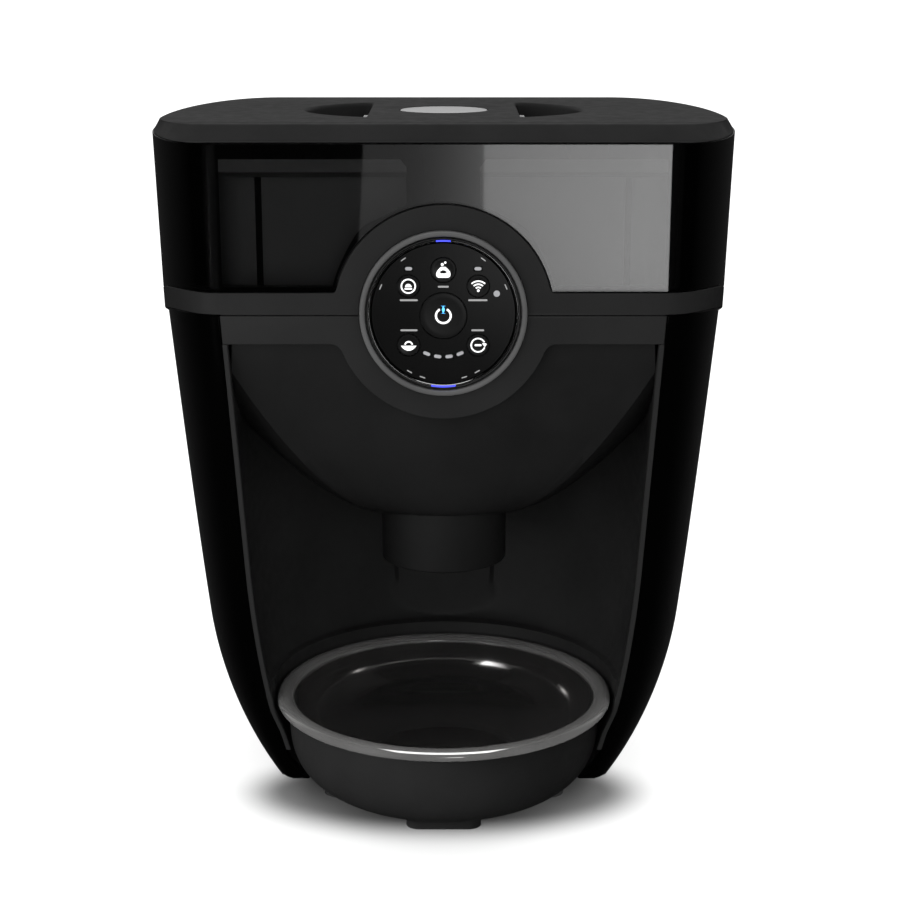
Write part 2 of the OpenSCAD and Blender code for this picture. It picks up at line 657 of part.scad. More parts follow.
cell_r = 16.7;
module battery_box() {
    low = door_low + 2;
    high = door_high - 2;
    color([0.1, 0.1, 0.105]) difference() {
        translate([-door_half + 2, 99, low]) cube([2 * door_half - 4, back_y - wall - 0.6 - 99, high - low]);
        translate([-door_half + 4, 101, low + 2]) cube([2 * door_half - 8, back_y - 101, high - low - 4]);
    }
}
module battery_cells() {
    cell_h = 58.5;
    spacing = 2 * cell_r + 1.2;
    color([0.75, 0.6, 0.2]) for (i = [-1:1])
        translate([i * spacing, 101.4 + cell_r, door_low + 4.4]) {
            cylinder(r = cell_r, h = cell_h);
            translate([0, 0, cell_h]) cylinder(r = 5, h = 2);
        }
}
module battery_door() {
    color([0.12, 0.12, 0.125]) difference() {
        translate([-door_half, back_y - wall, door_low]) cube([2 * door_half, wall, door_high - door_low]);
        along_y(0, back_y - 1.2, door_high - 14) scale([1, 0.45, 1]) cylinder(r = 16, h = 3);
    }
}
module dc_inlet() {
    color([0.15, 0.15, 0.15]) along_y(-inlet_x, back_y - 22, inlet_z) difference() {
        cylinder(r = 8.7, h = 21.8);
        translate([0, 0, 13]) cylinder(r = 6, h = 10);
        translate([0, 0, 4]) difference() {
            cylinder(r = 2.9, h = 12);
            translate([0, 0, -1]) cylinder(r = 1, h = 8);
        }
    }
}
module rear_screws() {
    color([0.25, 0.25, 0.26]) rear_screw_places() difference() {
        union() {
            translate([0, 0, back_y - 2.1]) cylinder(r = 3.2, h = 1.8);
            translate([0, 0, back_y - 14]) cylinder(r = 1.4, h = 12);
        }
        translate([0, 0, back_y - 1.2]) for (a = [0, 90]) rotate(a) centred_box(3.6, 0.8, 2);
    }
}

// ---- lid ----

recess_a = 76;                       // half-length of the oval recess, left to right
recess_b = 60;
pan_wall = 2.4;
recess_z = height - recess_depth;
latch_travel = 4;
latch_y = 22;                        // half-length of a latch tab
latch_low = recess_z + 1;
latch_high = height - 5;
slide_z = rim_z - plug_depth + 0.9;
slide_thick = 2.4;
module oval(a, b, z, h) {
    points = [for (i = [0:47]) [a * cos(7.5 * i), b * sin(7.5 * i)]];
    translate([0, lid_y, z]) linear_extrude(h) polygon(points);
}
// Outline of the lid's flat top: nearer the rim at the sides and rounder at the back corners
function lid_top(in) = let (middle = -20, xs = upper_x(rim_z) - lid_side_bevel - in,
        yf = rim_front_y + lid_bevel + in, yb = back_y - lid_bevel - 2.3 - in,
        right = [for (i = [0:arc_steps]) let (a = 180 * i / arc_steps,
            xc = flat_width / 2 - (a < 90 ? 2 : 21.5), run = a < 90 ? middle - yf : yb - middle)
            [xc + (xs - xc) * sin(a), middle - run * cos(a)]])
    concat(right, [for (i = [arc_steps:-1:0]) [-right[i][0], right[i][1]]]);
module lid() {
    bar_in = handle_width / 2 - wall;
    edge = 1.5;                      // height of the upright edge under the bevel
    color([0.25, 0.25, 0.255]) difference() {
        loft([at_z(upper_ring(rim_z, plug_in), rim_z - plug_depth),
              at_z(upper_ring(rim_z, plug_in), rim_z + gap),
              at_z(upper_ring(rim_z, 1.4), rim_z + gap + 0.01),
              at_z(upper_ring(rim_z, 1.6), rim_z + edge),
              at_z(lid_top(0), height)]);
        difference() {
            loft([at_z(upper_ring(rim_z, plug_in + wall), rim_z - plug_depth - 1),
                  at_z(upper_ring(rim_z, plug_in + wall), rim_z - 2),
                  at_z(lid_top(wall), height - wall)]);
            oval(recess_a + pan_wall, recess_b + pan_wall, recess_z - pan_wall, 30);
        }
        difference() {
            oval(recess_a, recess_b, recess_z, 30);
            translate([0, lid_y, recess_z - 1]) centred_box(handle_width, 2 * recess_b + 4, recess_depth);
        }
        translate([0, lid_y, recess_z - 5]) centred_box(2 * bar_in, 2 * recess_b - 12, recess_depth + 1);
        translate([0, lid_y, latch_low - 0.4])
            centred_box(handle_width + 2, 2 * latch_y + 0.8, latch_high - latch_low + 0.8);
        translate([0, lid_y, rim_z - plug_depth - 1]) centred_box(width, 18.8, slide_thick + 2.3);
        translate([0, lid_y, height - 1.6]) cylinder(r = 24.4, h = 3);
    }
}
module lid_badge() {
    color([0.65, 0.65, 0.66]) translate([0, lid_y, height - 1.5]) {
        cylinder(r = 24.2, h = 0.9);
        translate([0, 0, 0.9]) cylinder(r1 = 24.2, r2 = 23.8, h = 0.4);
    }
}
module lid_gasket() {
    color([0.3, 0.3, 0.31]) grid_wall(
        [for (z = [rim_z - 6, rim_z - 2]) at_z(upper_ring(rim_z, plug_in - 1.4), z)],
        [for (z = [rim_z - 6, rim_z - 2]) at_z(upper_ring(rim_z, plug_in - 0.02), z)], true);
}
module latch(side) {
    tip = upper_x(rim_z) - collar_in - collar_wall - 1;
    tab_in = handle_width / 2 - wall - 5;
    color([0.55, 0.55, 0.56]) mirror([side < 0 ? 1 : 0, 0, 0]) translate([0, lid_y, 0]) {
        translate([tab_in, -latch_y, latch_low])
            cube([handle_width / 2 + latch_travel - tab_in, 2 * latch_y, latch_high - latch_low]);
        translate([tab_in - 3, -9, slide_z]) cube([6, 18, latch_high - slide_z]);
        translate([tab_in, -9, slide_z]) cube([tip - tab_in, 18, slide_thick]);
    }
}
module latch_left() { latch(-1); }
module latch_right() { latch(1); }

// ---- bowl ----

tray_r = 85;
tray_top = rim_height - 4.8;
tray_low = 6.8;
tray_steps = 14;
// Radius of a round-bottomed bowl form at height z
function bowl_r(z, r, low, high, power) =
    r * pow(1 - pow(clamp01((high - z) / (high - low)), power), 1 / power);
function bowl_curve(r, low, high, power) =
    [for (i = [0:tray_steps]) let (z = mix(low, high, 1 - cos(90 * i / tray_steps)))
        [bowl_r(z, r, low - 0.2, high, power), z]];
module bowl_tray() {
    skin_in = 2.5;
    color([0.18, 0.18, 0.185]) translate([0, bowl_y, 0]) rotate_extrude() polygon(concat(
        [[0, tray_low]], bowl_curve(tray_r, tray_low, tray_top, 3.3),
        [for (i = [tray_steps:-1:0]) bowl_curve(tray_r - skin_in, tray_low + skin_in, tray_top, 3.3)[i]],
        [[0, tray_low + skin_in]]));
}
module tray_pads() {
    color([0.05, 0.05, 0.05]) translate([0, bowl_y, tray_low + 3.1]) for (a = [90, 210, 330])
        rotate(a) translate([22, 0, 0]) cylinder(r = 6, h = 10.8);
}
module steel_bowl() {
    roll = 3.2;
    roll_r = rim_diameter / 2 - roll;
    floor_z = 21;
    high = rim_height - 3.4;
    steel = 1;
    color([0.7, 0.7, 0.72]) translate([0, bowl_y, 0]) rotate_extrude() {
        translate([roll_r, rim_height - roll]) circle(r = roll, $fn = 32);
        translate([81, high - steel]) square([roll_r - 81, steel]);
        polygon(concat([[0, floor_z]], bowl_curve(81.8, floor_z, high, 2.6),
            [for (i = [tray_steps:-1:0]) bowl_curve(81.8 - steel, floor_z + steel, high, 2.6)[i]],
            [[0, floor_z + steel]]));
    }
}

side_shell_left();
side_shell_right();
rear_cover();
front_panel();
mid_band();
hopper_window();
hopper_tank();
alcove_liner();
funnel_cowl();
food_nozzle();
base_plate();
rubber_feet();
dial_bezel();
light_ring();
control_panel();
power_button();
feed_button();
mode_button();
wireless_button();
portion_button();
schedule_button();
indicator_lights();
proximity_sensor();
control_board();
dial_housing();
dispenser_drum();
paddle_wheel();
wheel_shaft();
shaft_bushes();
drive_gear();
motor_pinion();
motor_shaft();
gear_motor();
motor_bracket();
chute_sensors();
battery_box();
battery_cells();
battery_door();
dc_inlet();
rear_screws();
board_screws();
bracket_screws();
lid();
lid_badge();
lid_gasket();
latch_left();
latch_right();
bowl_tray();
tray_pads();
steel_bowl();
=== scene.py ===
"""Looks of the automatic pet feeder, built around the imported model.

The outer casings are rebuilt as smooth skins from the same curves as the model's, in millimetres,
and the inner parts keep the model's own meshes with better materials.
"""
import json
import math

import bmesh
import bpy
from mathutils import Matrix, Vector
from mathutils.geometry import tessellate_polygon

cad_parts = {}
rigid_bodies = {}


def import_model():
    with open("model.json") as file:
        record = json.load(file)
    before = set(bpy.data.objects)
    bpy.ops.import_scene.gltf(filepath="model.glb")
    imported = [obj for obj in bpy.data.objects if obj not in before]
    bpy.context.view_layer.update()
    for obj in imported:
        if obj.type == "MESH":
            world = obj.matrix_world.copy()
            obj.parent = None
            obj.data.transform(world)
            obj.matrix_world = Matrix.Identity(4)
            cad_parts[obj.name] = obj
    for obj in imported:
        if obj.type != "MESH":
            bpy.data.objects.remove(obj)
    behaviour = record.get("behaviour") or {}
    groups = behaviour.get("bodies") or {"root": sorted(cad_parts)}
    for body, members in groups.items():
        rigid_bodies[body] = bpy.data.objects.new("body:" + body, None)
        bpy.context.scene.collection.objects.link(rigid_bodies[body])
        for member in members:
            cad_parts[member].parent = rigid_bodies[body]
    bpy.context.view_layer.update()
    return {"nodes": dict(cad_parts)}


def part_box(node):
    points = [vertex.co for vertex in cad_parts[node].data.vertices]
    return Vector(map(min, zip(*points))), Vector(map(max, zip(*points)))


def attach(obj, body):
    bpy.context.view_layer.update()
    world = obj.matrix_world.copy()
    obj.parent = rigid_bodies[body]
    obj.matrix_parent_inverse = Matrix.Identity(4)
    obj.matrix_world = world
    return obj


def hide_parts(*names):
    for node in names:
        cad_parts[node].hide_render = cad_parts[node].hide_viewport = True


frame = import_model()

MM = 0.001


# ---- driving dimensions, from the frame ----

def span(node):
    """Lowest and highest corner of a node, in millimetres."""
    low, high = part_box(node)
    return [c / MM for c in low], [c / MM for c in high]


window_low, window_high = span("hopper_window")
RIM_Z = window_high[2]
HALF = window_high[0]
BACK = window_high[1]
RIM_FRONT = window_low[1]
TOP = RIM_Z + 8.5
LEAN_RUN = 15
LEAN = math.atan(LEAN_RUN / RIM_Z)
WALL = 3
GAP = 0.3
FLOOR_GAP = 3
FLAT_HALF = 120.5                      # half-width of the flat front at the rim
UPPER_TAPER = 0.038                    # narrowing of the window's sides for each millimetre down
WAIST_HALF = HALF - 34.5               # half-width of the casings at the floor, before their rounding
LOWER_FLARE = 0.108
SIDE_BULGE = 1.3
ROUND_HEIGHT, ROUND_WIDTH = 97, 54     # rounding of the casings' foot
CREASE_FLARE = 0.066
CREASE_ROUND = (30, 140)               # width and height of the rounding of the front's foot
WINDOW_Z = RIM_Z - 75.5
BAND_Z = WINDOW_Z - 11.7
BAND_DIP = 35
PANEL_Z = BAND_Z - 15.6
DIAL_Z = 278
SEAM_Z = DIAL_Z - 1
SHIELD_R = 56
BEZEL_HOLE = 43.1
REAR_SPLIT = 150
DIAL_Y = RIM_FRONT + LEAN_RUN * (RIM_Z - DIAL_Z) / RIM_Z
LID_Y = (RIM_FRONT + BACK) / 2
DIAL_BACK = span("dial_housing")[1][1]
bowl_low, bowl_high = span("steel_bowl")
BOWL_Y = (bowl_low[1] + bowl_high[1]) / 2
RIM_R = bowl_high[0]
BOWL_TOP = bowl_high[2]
TRAY_R = 85
TRAY_LOW = 6.8
TRAY_TOP = BOWL_TOP - 4.8
TOE_TOP = 58
LIP_FOOT = 34
nozzle_low, nozzle_high = span("food_nozzle")
NOZZLE_R = nozzle_high[0]
NOZZLE_MOUTH = nozzle_low[2]
DRUM_Y = (nozzle_low[1] + nozzle_high[1]) / 2
ALCOVE_R = 109


# ---- curves of the housing ----

def sin(a):
    return math.sin(math.radians(a))


def cos(a):
    return math.cos(math.radians(a))


def clamp01(s):
    return max(0.0, min(1.0, s))


def mix(a, b, s):
    return a + (b - a) * s


def steps(low, high, n):
    return [mix(low, high, i / n) for i in range(n + 1)]


def round_in(z, w, h):
    u = clamp01((h - z) / h)
    return w * (1 - math.sqrt(1 - u * u))


def front_y(z):
    """The front face, which leans forwards from its foot to the rim."""
    return RIM_FRONT + LEAN_RUN * (RIM_Z - z) / RIM_Z


def upper_x(z):
    return HALF - UPPER_TAPER * (RIM_Z - z)


def lower_x(z):
    bulge = SIDE_BULGE * sin(180 * clamp01(z / BAND_Z))
    return WAIST_HALF + LOWER_FLARE * z + bulge - round_in(z, ROUND_WIDTH, ROUND_HEIGHT)


def crease_x(z):
    """Where the flat front begins to round into the sides."""
    return FLAT_HALF - 24 + CREASE_FLARE * z - round_in(z, *CREASE_ROUND)


def dip(y):
    """How far the band's edges fall from the dial to the back."""
    s = clamp01((y - DIAL_Y) / (BACK - DIAL_Y))
    return BAND_DIP * s * s * (3 - 2 * s)


def skin(z):
    return WALL + 5 * clamp01((30 - z) / 30) ** 2


def side_point(xc, xs, yf, yb, a):
    mid = (yf + yb) / 2
    return xc + (xs - xc) * sin(a), mid - (mid - yf) * cos(a)


def both_sides(right):
    """Points of the right-hand half followed by their mirror images, backwards."""
    return right + [(-x, *rest) for x, *rest in reversed(right)]


def outline(xc, xs, yf, yb, n=48):
    """Closed outline with a flat front and back and bowed sides, from the front right corner."""
    return both_sides([side_point(xc, xs, yf, yb, a) for a in steps(0, 180, n)])


def upper_ring(z, inset, n=48):
    return outline(crease_x(z), upper_x(z) - inset, front_y(z) + inset, BACK - inset, n)


def body_point(z, a, inset, side_inset):
    x, y = side_point(crease_x(z), lower_x(z) - side_inset, front_y(z) + inset, BACK - inset, a)
    return x, y, z


def foot(y):
    """Height of the shells' lower edge, which rises at the front."""
    return FLOOR_GAP + 14 * clamp01((-15 - y) / 55) ** 2


def body_height(s, a):
    y = side_point(0, 1, DIAL_Y, BACK, a)[1]
    return mix(foot(y), BAND_Z - GAP - dip(y), s)


def dial_point(u, v, w):
    """Point of the dial's frame: u to the right and v up in the leaning front plane, w out of it."""
    tilt_sin, tilt_cos = math.sin(LEAN), math.cos(LEAN)
    return u, DIAL_Y - v * tilt_sin - w * tilt_cos, DIAL_Z + v * tilt_cos - w * tilt_sin


# ---- mesh building ----

class Solid:
    """Points in millimetres and the faces between them."""

    def __init__(self):
        self.points = []
        self.faces = []

    def row(self, points):
        start = len(self.points)
        self.points.extend(tuple(p) for p in points)
        return list(range(start, len(self.points)))

    def strip(self, a, b, closed=True, skipped=()):
        n = len(a)
        for i in range(n if closed else n - 1):
            j = (i + 1) % n
            if i not in skipped:
                self.faces.append((a[i], a[j], b[j], b[i]))

    def loft(self, rows, closed=True):
        made = [self.row(r) for r in rows]
        for a, b in zip(made, made[1:]):
            self.strip(a, b, closed)
        return made

    def cap(self, ring):
        self.faces.append(tuple(ring))

    def beam(self, rows):
        """Loft with both ends closed."""
        made = self.loft(rows)
        self.cap(made[0])
        self.cap(made[-1])

    def fill(self, *rings):
        """Flat face inside the first ring and outside the others."""
        order = [i for r in rings for i in r]
        loops = [[Vector(self.points[i]) for i in r] for r in rings]
        for t in tessellate_polygon(loops):
            self.faces.append(tuple(order[i] for i in t))

    def wall(self, outer, inner, closed=False, ends=True):
        """Solid between two equal grids of points; a closed one runs all the way round."""
        o = self.loft(outer, closed)
        c = self.loft(inner, closed)
        self.strip(o[0], c[0], closed)
        self.strip(o[-1], c[-1], closed)
        if ends and not closed:
            self.strip([r[0] for r in o], [r[0] for r in c], False)
            self.strip([r[-1] for r in o], [r[-1] for r in c], False)

    def lathe(self, profile, place, n=128, ring=True):
        """Turns a profile of (radius, height): a closed ring, or an open one with capped ends."""
        rows = [[place(u, v, h) for u, v in circle(0, 0, r, n)] for r, h in profile]
        if ring:
            made = self.loft(rows)
            self.strip(made[-1], made[0])
        else:
            self.beam(rows)

    def plate(self, loops, place, low, high):
        """Straight-sided solid of a flat outline, with holes after the first loop."""
        tops, feet = [], []
        for loop in loops:
            tops.append(self.row([place(u, v, high) for u, v in loop]))
            feet.append(self.row([place(u, v, low) for u, v in loop]))
            self.strip(tops[-1], feet[-1])
        self.fill(*tops)
        self.fill(*feet)


def arc(cx, cy, r, a0, a1, n=6):
    """Points of a circle's arc, a = 0 up and 90 to the right."""
    return [(cx + r * sin(a), cy + r * cos(a)) for a in steps(a0, a1, n)]


def circle(cx, cy, r, n):
    return arc(cx, cy, r, 0, 360, n)[:-1]


def bend(p, corner, q, n=6):
    """Curve from p to q that rounds the given corner."""
    made = []
    for s in steps(0, 1, n):
        a = [mix(p[k], corner[k], s) for k in (0, 1)]
        b = [mix(corner[k], q[k], s) for k in (0, 1)]
        made.append((mix(a[0], b[0], s), mix(a[1], b[1], s)))
    return made


def upright(cx, cy):
    """Places a turned profile round a vertical axis."""
    return lambda u, v, w: (cx + u, cy + v, w)


def linked(obj):
    bpy.context.scene.collection.objects.link(obj)
    return obj


def solid_object(name, solid):
    """Object of a solid: equal points joined and faces turned outwards."""
    mesh = bpy.data.meshes.new(name)
    mesh.from_pydata([[c * MM for c in p] for p in solid.points], [], solid.faces)
    work = bmesh.new()
    work.from_mesh(mesh)
    bmesh.ops.remove_doubles(work, verts=work.verts, dist=0.004 * MM)
    bmesh.ops.recalc_face_normals(work, faces=work.faces)
    work.to_mesh(mesh)
    work.free()
    return linked(bpy.data.objects.new(name, mesh))


def quad(name, corners):
    """Sheet with four corners, in metres."""
    mesh = bpy.data.meshes.new(name)
    mesh.from_pydata(corners, [], [(0, 1, 2, 3)])
    return linked(bpy.data.objects.new(name, mesh))


def bake(obj):
    """Turns the object's modifiers into mesh."""
    bpy.context.view_layer.update()
    depsgraph = bpy.context.evaluated_depsgraph_get()
    obj.data = bpy.data.meshes.new_from_object(obj.evaluated_get(depsgraph), depsgraph=depsgraph)
    obj.modifiers.clear()


def make(name, solid, material, body, replaces=(), bevel=0.0, sharp=38.0):
    """Makes the solid a piece of the model: rounded edges, material and the body it rides on."""
    obj = solid_object(name, solid)
    obj.data.shade_smooth()
    if bevel:
        rounding = obj.modifiers.new("rounding", "BEVEL")
        rounding.width = bevel * MM
        rounding.segments = 3
        rounding.limit_method = "ANGLE"
        rounding.angle_limit = math.radians(sharp)
        rounding.use_clamp_overlap = True
        rounding.miter_outer = "MITER_ARC"
        normals = obj.modifiers.new("normals", "WEIGHTED_NORMAL")
        normals.keep_sharp = True
        bake(obj)
    else:
        obj.data.set_sharp_from_angle(angle=math.radians(sharp))
    obj.data.materials.clear()
    obj.data.materials.append(material)
    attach(obj, body)
    if replaces:
        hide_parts(*replaces)
    return obj


# ---- materials ----

def wire(tree, target, inputs):
    """Gives each input of a node its value, or a link from another node's output."""
    for key, value in inputs.items():
        if isinstance(value, bpy.types.NodeSocket):
            tree.links.new(value, target.inputs[key])
        else:
            target.inputs[key].default_value = value


def node(tree, kind, inputs=None, **settings):
    made = tree.nodes.new("ShaderNode" + kind)
    for key, value in settings.items():
        setattr(made, key, value)
    wire(tree, made, inputs or {})
    return made


def new_material(name):
    material = bpy.data.materials.new(name)
    material.use_nodes = True
    tree = material.node_tree
    return material, tree, tree.nodes["Principled BSDF"]


def noise(tree, scale, detail=2.0, stretch=(1, 1, 1)):
    """Value of a noise with that many cells a metre."""
    coords = node(tree, "TexCoord")
    mapping = node(tree, "Mapping", {"Vector": coords.outputs["Object"], "Scale": stretch})
    made = node(tree, "TexNoise", {"Vector": mapping.outputs["Vector"], "Scale": scale, "Detail": detail})
    return made.outputs["Fac"]


def ranged(tree, value, low, high, start=0.3, end=0.7):
    """The value's range from start to end, stretched over low to high."""
    inputs = {"Value": value, "From Min": start, "From Max": end, "To Min": low, "To Max": high}
    return node(tree, "MapRange", inputs).outputs["Result"]


def tinted(tree, value, dark, light):
    made = node(tree, "ValToRGB", {"Fac": value})
    for end, position, colour in zip(made.color_ramp.elements, (0.3, 0.7), (dark, light)):
        end.position = position
        end.color = (*colour, 1)
    return made.outputs["Color"]


def scaled(colour, share):
    return [min(1, c * share) for c in colour]


def blended(tree, factor, first, second):
    """Mix of two shaders."""
    return node(tree, "MixShader", {"Fac": factor, 1: first, 2: second}).outputs[0]


def bumps(tree, height, depth, strength=1.0):
    inputs = {"Height": height, "Distance": depth * MM, "Strength": strength}
    return node(tree, "Bump", inputs).outputs["Normal"]


def plastic(name, colour, rough, grain=0.02, cells=1400, vary=0.12, worn=1.25):
    """Moulded plastic: fine grain, soft patches of tone and gloss, and edges rubbed a little lighter."""
    material, tree, shader = new_material(name)
    tone = tinted(tree, noise(tree, 28, 4), scaled(colour, 1 - vary), scaled(colour, 1 + vary))
    edges = ranged(tree, node(tree, "NewGeometry").outputs["Pointiness"], 0, 1, 0.52, 0.6)
    rubbed = node(tree, "Mix", {"Factor": edges, 6: tone, 7: (*scaled(colour, worn), 1)}, data_type="RGBA")
    wire(tree, shader, {"Base Color": rubbed.outputs[2],
                        "Roughness": ranged(tree, noise(tree, 160, 3), rough * 0.9, rough * 1.1)})
    if grain:
        wire(tree, shader, {"Normal": bumps(tree, noise(tree, cells, 2), grain)})
    return material


def grey(v, tint=1.0):
    return v * tint, v, v / tint


def gloss(name, colour, rough):
    """Polished plastic: nearly even, with faint wiping marks in its gloss."""
    material, tree, shader = new_material(name)
    wiped = noise(tree, 14, 5, (1, 1, 0.25))
    wire(tree, shader, {
        "Base Color": tinted(tree, noise(tree, 12, 3), scaled(colour, 0.8), scaled(colour, 1.2)),
        "Roughness": ranged(tree, wiped, rough, rough * 2.2),
        "Normal": bumps(tree, noise(tree, 60, 1), 0.01, 0.3)})
    return material


def metal(name, colour, rough, lines=0.0, stretch=(1, 1, 1)):
    """Bare metal with drawn or turned lines."""
    material, tree, shader = new_material(name)
    wire(tree, shader, {
        "Metallic": 1.0,
        "Base Color": tinted(tree, noise(tree, 40, 4), scaled(colour, 0.92), scaled(colour, 1.06)),
        "Roughness": ranged(tree, noise(tree, 300, 3, stretch), rough * 0.75, rough * 1.3)})
    if lines:
        wire(tree, shader, {"Normal": bumps(tree, noise(tree, 900, 2, stretch), lines)})
    return material


def turned_lines(tree, cy):
    """Value of rings round a vertical axis at y = cy."""
    coords = node(tree, "TexCoord")
    moved = node(tree, "VectorMath", {0: coords.outputs["Object"], 1: (0, cy * MM, 0)}, operation="SUBTRACT")
    flat = node(tree, "VectorMath", {0: moved.outputs["Vector"], 1: (1, 1, 0)}, operation="MULTIPLY")
    far = node(tree, "VectorMath", {0: flat.outputs["Vector"]}, operation="LENGTH")
    inputs = {"W": far.outputs["Value"], "Scale": 2600, "Detail": 3}
    return node(tree, "TexNoise", inputs, noise_dimensions="1D").outputs["Fac"]


def spun_metal(name, colour, rough, cy, depth, polish=1.0):
    """Metal turned round a vertical axis at y = cy: its lines are rings."""
    material, tree, shader = new_material(name)
    rings = turned_lines(tree, cy)
    wire(tree, shader, {
        "Metallic": polish,
        "Base Color": tinted(tree, noise(tree, 35, 4), scaled(colour, 0.9), scaled(colour, 1.08)),
        "Roughness": ranged(tree, rings, rough * 0.9, rough * 1.12),
        "Normal": bumps(tree, rings, depth)})
    return material


def smoked(name, tint, cover, rough):
    """Smoky clear plastic: a polished dark film over what is behind it."""
    material, tree, shader = new_material(name)
    wire(tree, shader, {
        "Metallic": 1.0,
        "Base Color": tinted(tree, noise(tree, 10, 2), grey(0.9), grey(0.96)),
        "Roughness": ranged(tree, noise(tree, 18, 4, (1, 1, 0.3)), rough, rough * 2.5)})
    clear = node(tree, "BsdfTransparent", {"Color": (*tint, 1)})
    facing = node(tree, "Fresnel", {"IOR": cover})
    film = blended(tree, facing.outputs[0], clear.outputs[0], shader.outputs[0])
    wire(tree, tree.nodes["Material Output"], {"Surface": film})
    return material


def lamp(name, colour, strength, base=(0.5, 0.5, 0.5)):
    """Lit legend or light behind a diffuser."""
    material, tree, shader = new_material(name)
    wire(tree, shader, {
        "Base Color": tinted(tree, noise(tree, 500, 2), scaled(base, 0.85), base),
        "Roughness": ranged(tree, noise(tree, 700, 2), 0.35, 0.5),
        "Emission Color": (*colour, 1),
        "Emission Strength": strength})
    return material


shell_gloss = gloss("shell_gloss", grey(0.0004), 0.035)
front_satin = plastic("front_satin", grey(0.0118), 0.5, 0.03, 1300)
lid_satin = plastic("lid_satin", grey(0.0145), 0.45, 0.02, 1500)
cover_satin = plastic("cover_satin", grey(0.022), 0.55, 0.03, 1100)
alcove_matte = plastic("alcove_matte", grey(0.0165), 0.55, 0.02, 1300)
cowl_matte = plastic("cowl_matte", grey(0.0078), 0.55, 0.02, 1300)
nozzle_matte = plastic("nozzle_matte", grey(0.0062), 0.5, 0.02, 1300)
tray_satin = plastic("tray_satin", grey(0.0085), 0.5, 0.03, 1200)
bezel_satin = plastic("bezel_satin", grey(0.072), 0.33, 0.01, 2000)
tank_plastic = plastic("tank_plastic", grey(0.24), 0.45, 0.01, 900, worn=1.05)
mask_black = gloss("mask_black", grey(0.0008), 0.2)
lining_black = plastic("lining_black", grey(0.019), 0.5, 0.01, 1500)
window_smoke = smoked("window_smoke", grey(0.75), 2.4, 0.012)
panel_gloss = gloss("panel_gloss", grey(0.004), 0.09)
button_gloss = gloss("button_gloss", grey(0.0055), 0.14)
inner_plastic = plastic("inner_plastic", grey(0.05), 0.5, 0.02, 900)
latch_plastic = plastic("latch_plastic", grey(0.3), 0.4, 0.01, 1500)
gear_plastic = plastic("gear_plastic", (0.72, 0.7, 0.64), 0.38, 0.01, 1200, worn=1.1)
paddle_rubber = plastic("paddle_rubber", (0.3, 0.3, 0.28), 0.7, 0.04, 900)
rubber_black = plastic("rubber_black", grey(0.014), 0.8, 0.06, 1600)
board_green = plastic("board_green", (0.012, 0.085, 0.035), 0.35, 0.02, 700)
cell_sleeve = plastic("cell_sleeve", (0.02, 0.05, 0.14), 0.3, 0.0)
steel_drawn = metal("steel_drawn", grey(0.55), 0.3, 0.006, (0.1, 1, 1))
steel_dark = metal("steel_dark", grey(0.09), 0.4, 0.006)
zinc_plate = metal("zinc_plate", (0.42, 0.43, 0.44), 0.4, 0.01)
bronze_metal = metal("bronze_metal", (0.55, 0.33, 0.13), 0.35, 0.006)
bowl_steel = spun_metal("bowl_steel", (0.44, 0.43, 0.425), 0.13, BOWL_Y, 0.0001, 0.972)
rim_chrome = spun_metal("rim_chrome", (0.78, 0.77, 0.76), 0.1, BOWL_Y, 0.0003, 0.885)
badge_metal = plastic("badge_metal", grey(0.4), 0.4, 0.004, 1800, 0.05, 1.05)
ring_chrome = metal("ring_chrome", grey(0.6), 0.12)
legend_white = lamp("legend_white", (1, 1, 1), 0.75, (0.6, 0.6, 0.6))
label_grey = lamp("label_grey", (1, 1, 1), 0.16, (0.2, 0.2, 0.2))
light_grey = lamp("light_grey", (0.95, 0.97, 1), 0.12, (0.25, 0.25, 0.26))
light_cyan = lamp("light_cyan", (0.05, 0.45, 1.0), 1.6, (0.1, 0.3, 0.6))
light_blue = lamp("light_blue", (0.03, 0.05, 1.0), 1.5, (0.05, 0.05, 0.6))


# ---- outer casings ----

def side_shell(side):
    """Gloss skin of one side, from the front's crease to the rear cover."""
    rows = 64
    columns = 56
    last = REAR_SPLIT - 1

    def grid(inside):
        made = []
        for k in range(rows + 1):
            share = (k / rows) ** 1.35
            row = []
            for a in steps(0, last, columns):
                z = body_height(share, a)
                x, y, z = body_point(z, a, inside * WALL, inside * skin(z))
                row.append((side * x, y, z))
            made.append(row)
        return made

    solid = Solid()
    solid.wall(grid(0), grid(1))
    name = "left" if side < 0 else "right"
    make("shell_" + name, solid, shell_gloss, "housing", ["side_shell_" + name], 0.6)


def tray_outside():
    """Radius and height of the tray's outer side."""
    return bowl_curve(TRAY_R, TRAY_LOW, TRAY_TOP - 3.2, 3.3)


def tray_half(z):
    """Half-width of the tray's outside at a height."""
    points = tray_outside()
    for (r0, z0), (r1, z1) in zip(points, points[1:]):
        if z0 <= z <= z1:
            return mix(r0, r1, (z - z0) / max(z1 - z0, 0.001))
    return points[0][0] if z < points[0][1] else points[-1][0]


def inner_edge(z):
    """Half-width of the opening between the side shells, which closes in on the tray near the floor."""
    s = clamp01((TOE_TOP - z) / (TOE_TOP - LIP_FOOT))
    return mix(crease_x(z), min(crease_x(z), tray_half(z) + 3.2), s * s * (3 - 2 * s))


def shell_toes():
    """Gloss foot of each side shell, which reaches in towards the tray."""
    depth = 6
    solid = Solid()
    for side in (-1, 1):
        rows = []
        for z in steps(foot(RIM_FRONT), TOE_TOP, 24):
            inner, outer, y = inner_edge(z) - 0.05, crease_x(z) + 1.2, front_y(z) + 0.05
            corner = [(inner + 1.4, y), (inner + 0.4, y + 0.4), (inner, y + 1.4)]
            section = [(outer, y)] + corner + [(inner, y + depth), (outer, y + depth)]
            rows.append([(side * x, v, z) for x, v in section])
        solid.beam(rows)
    make("shell_toes", solid, shell_gloss, "housing")


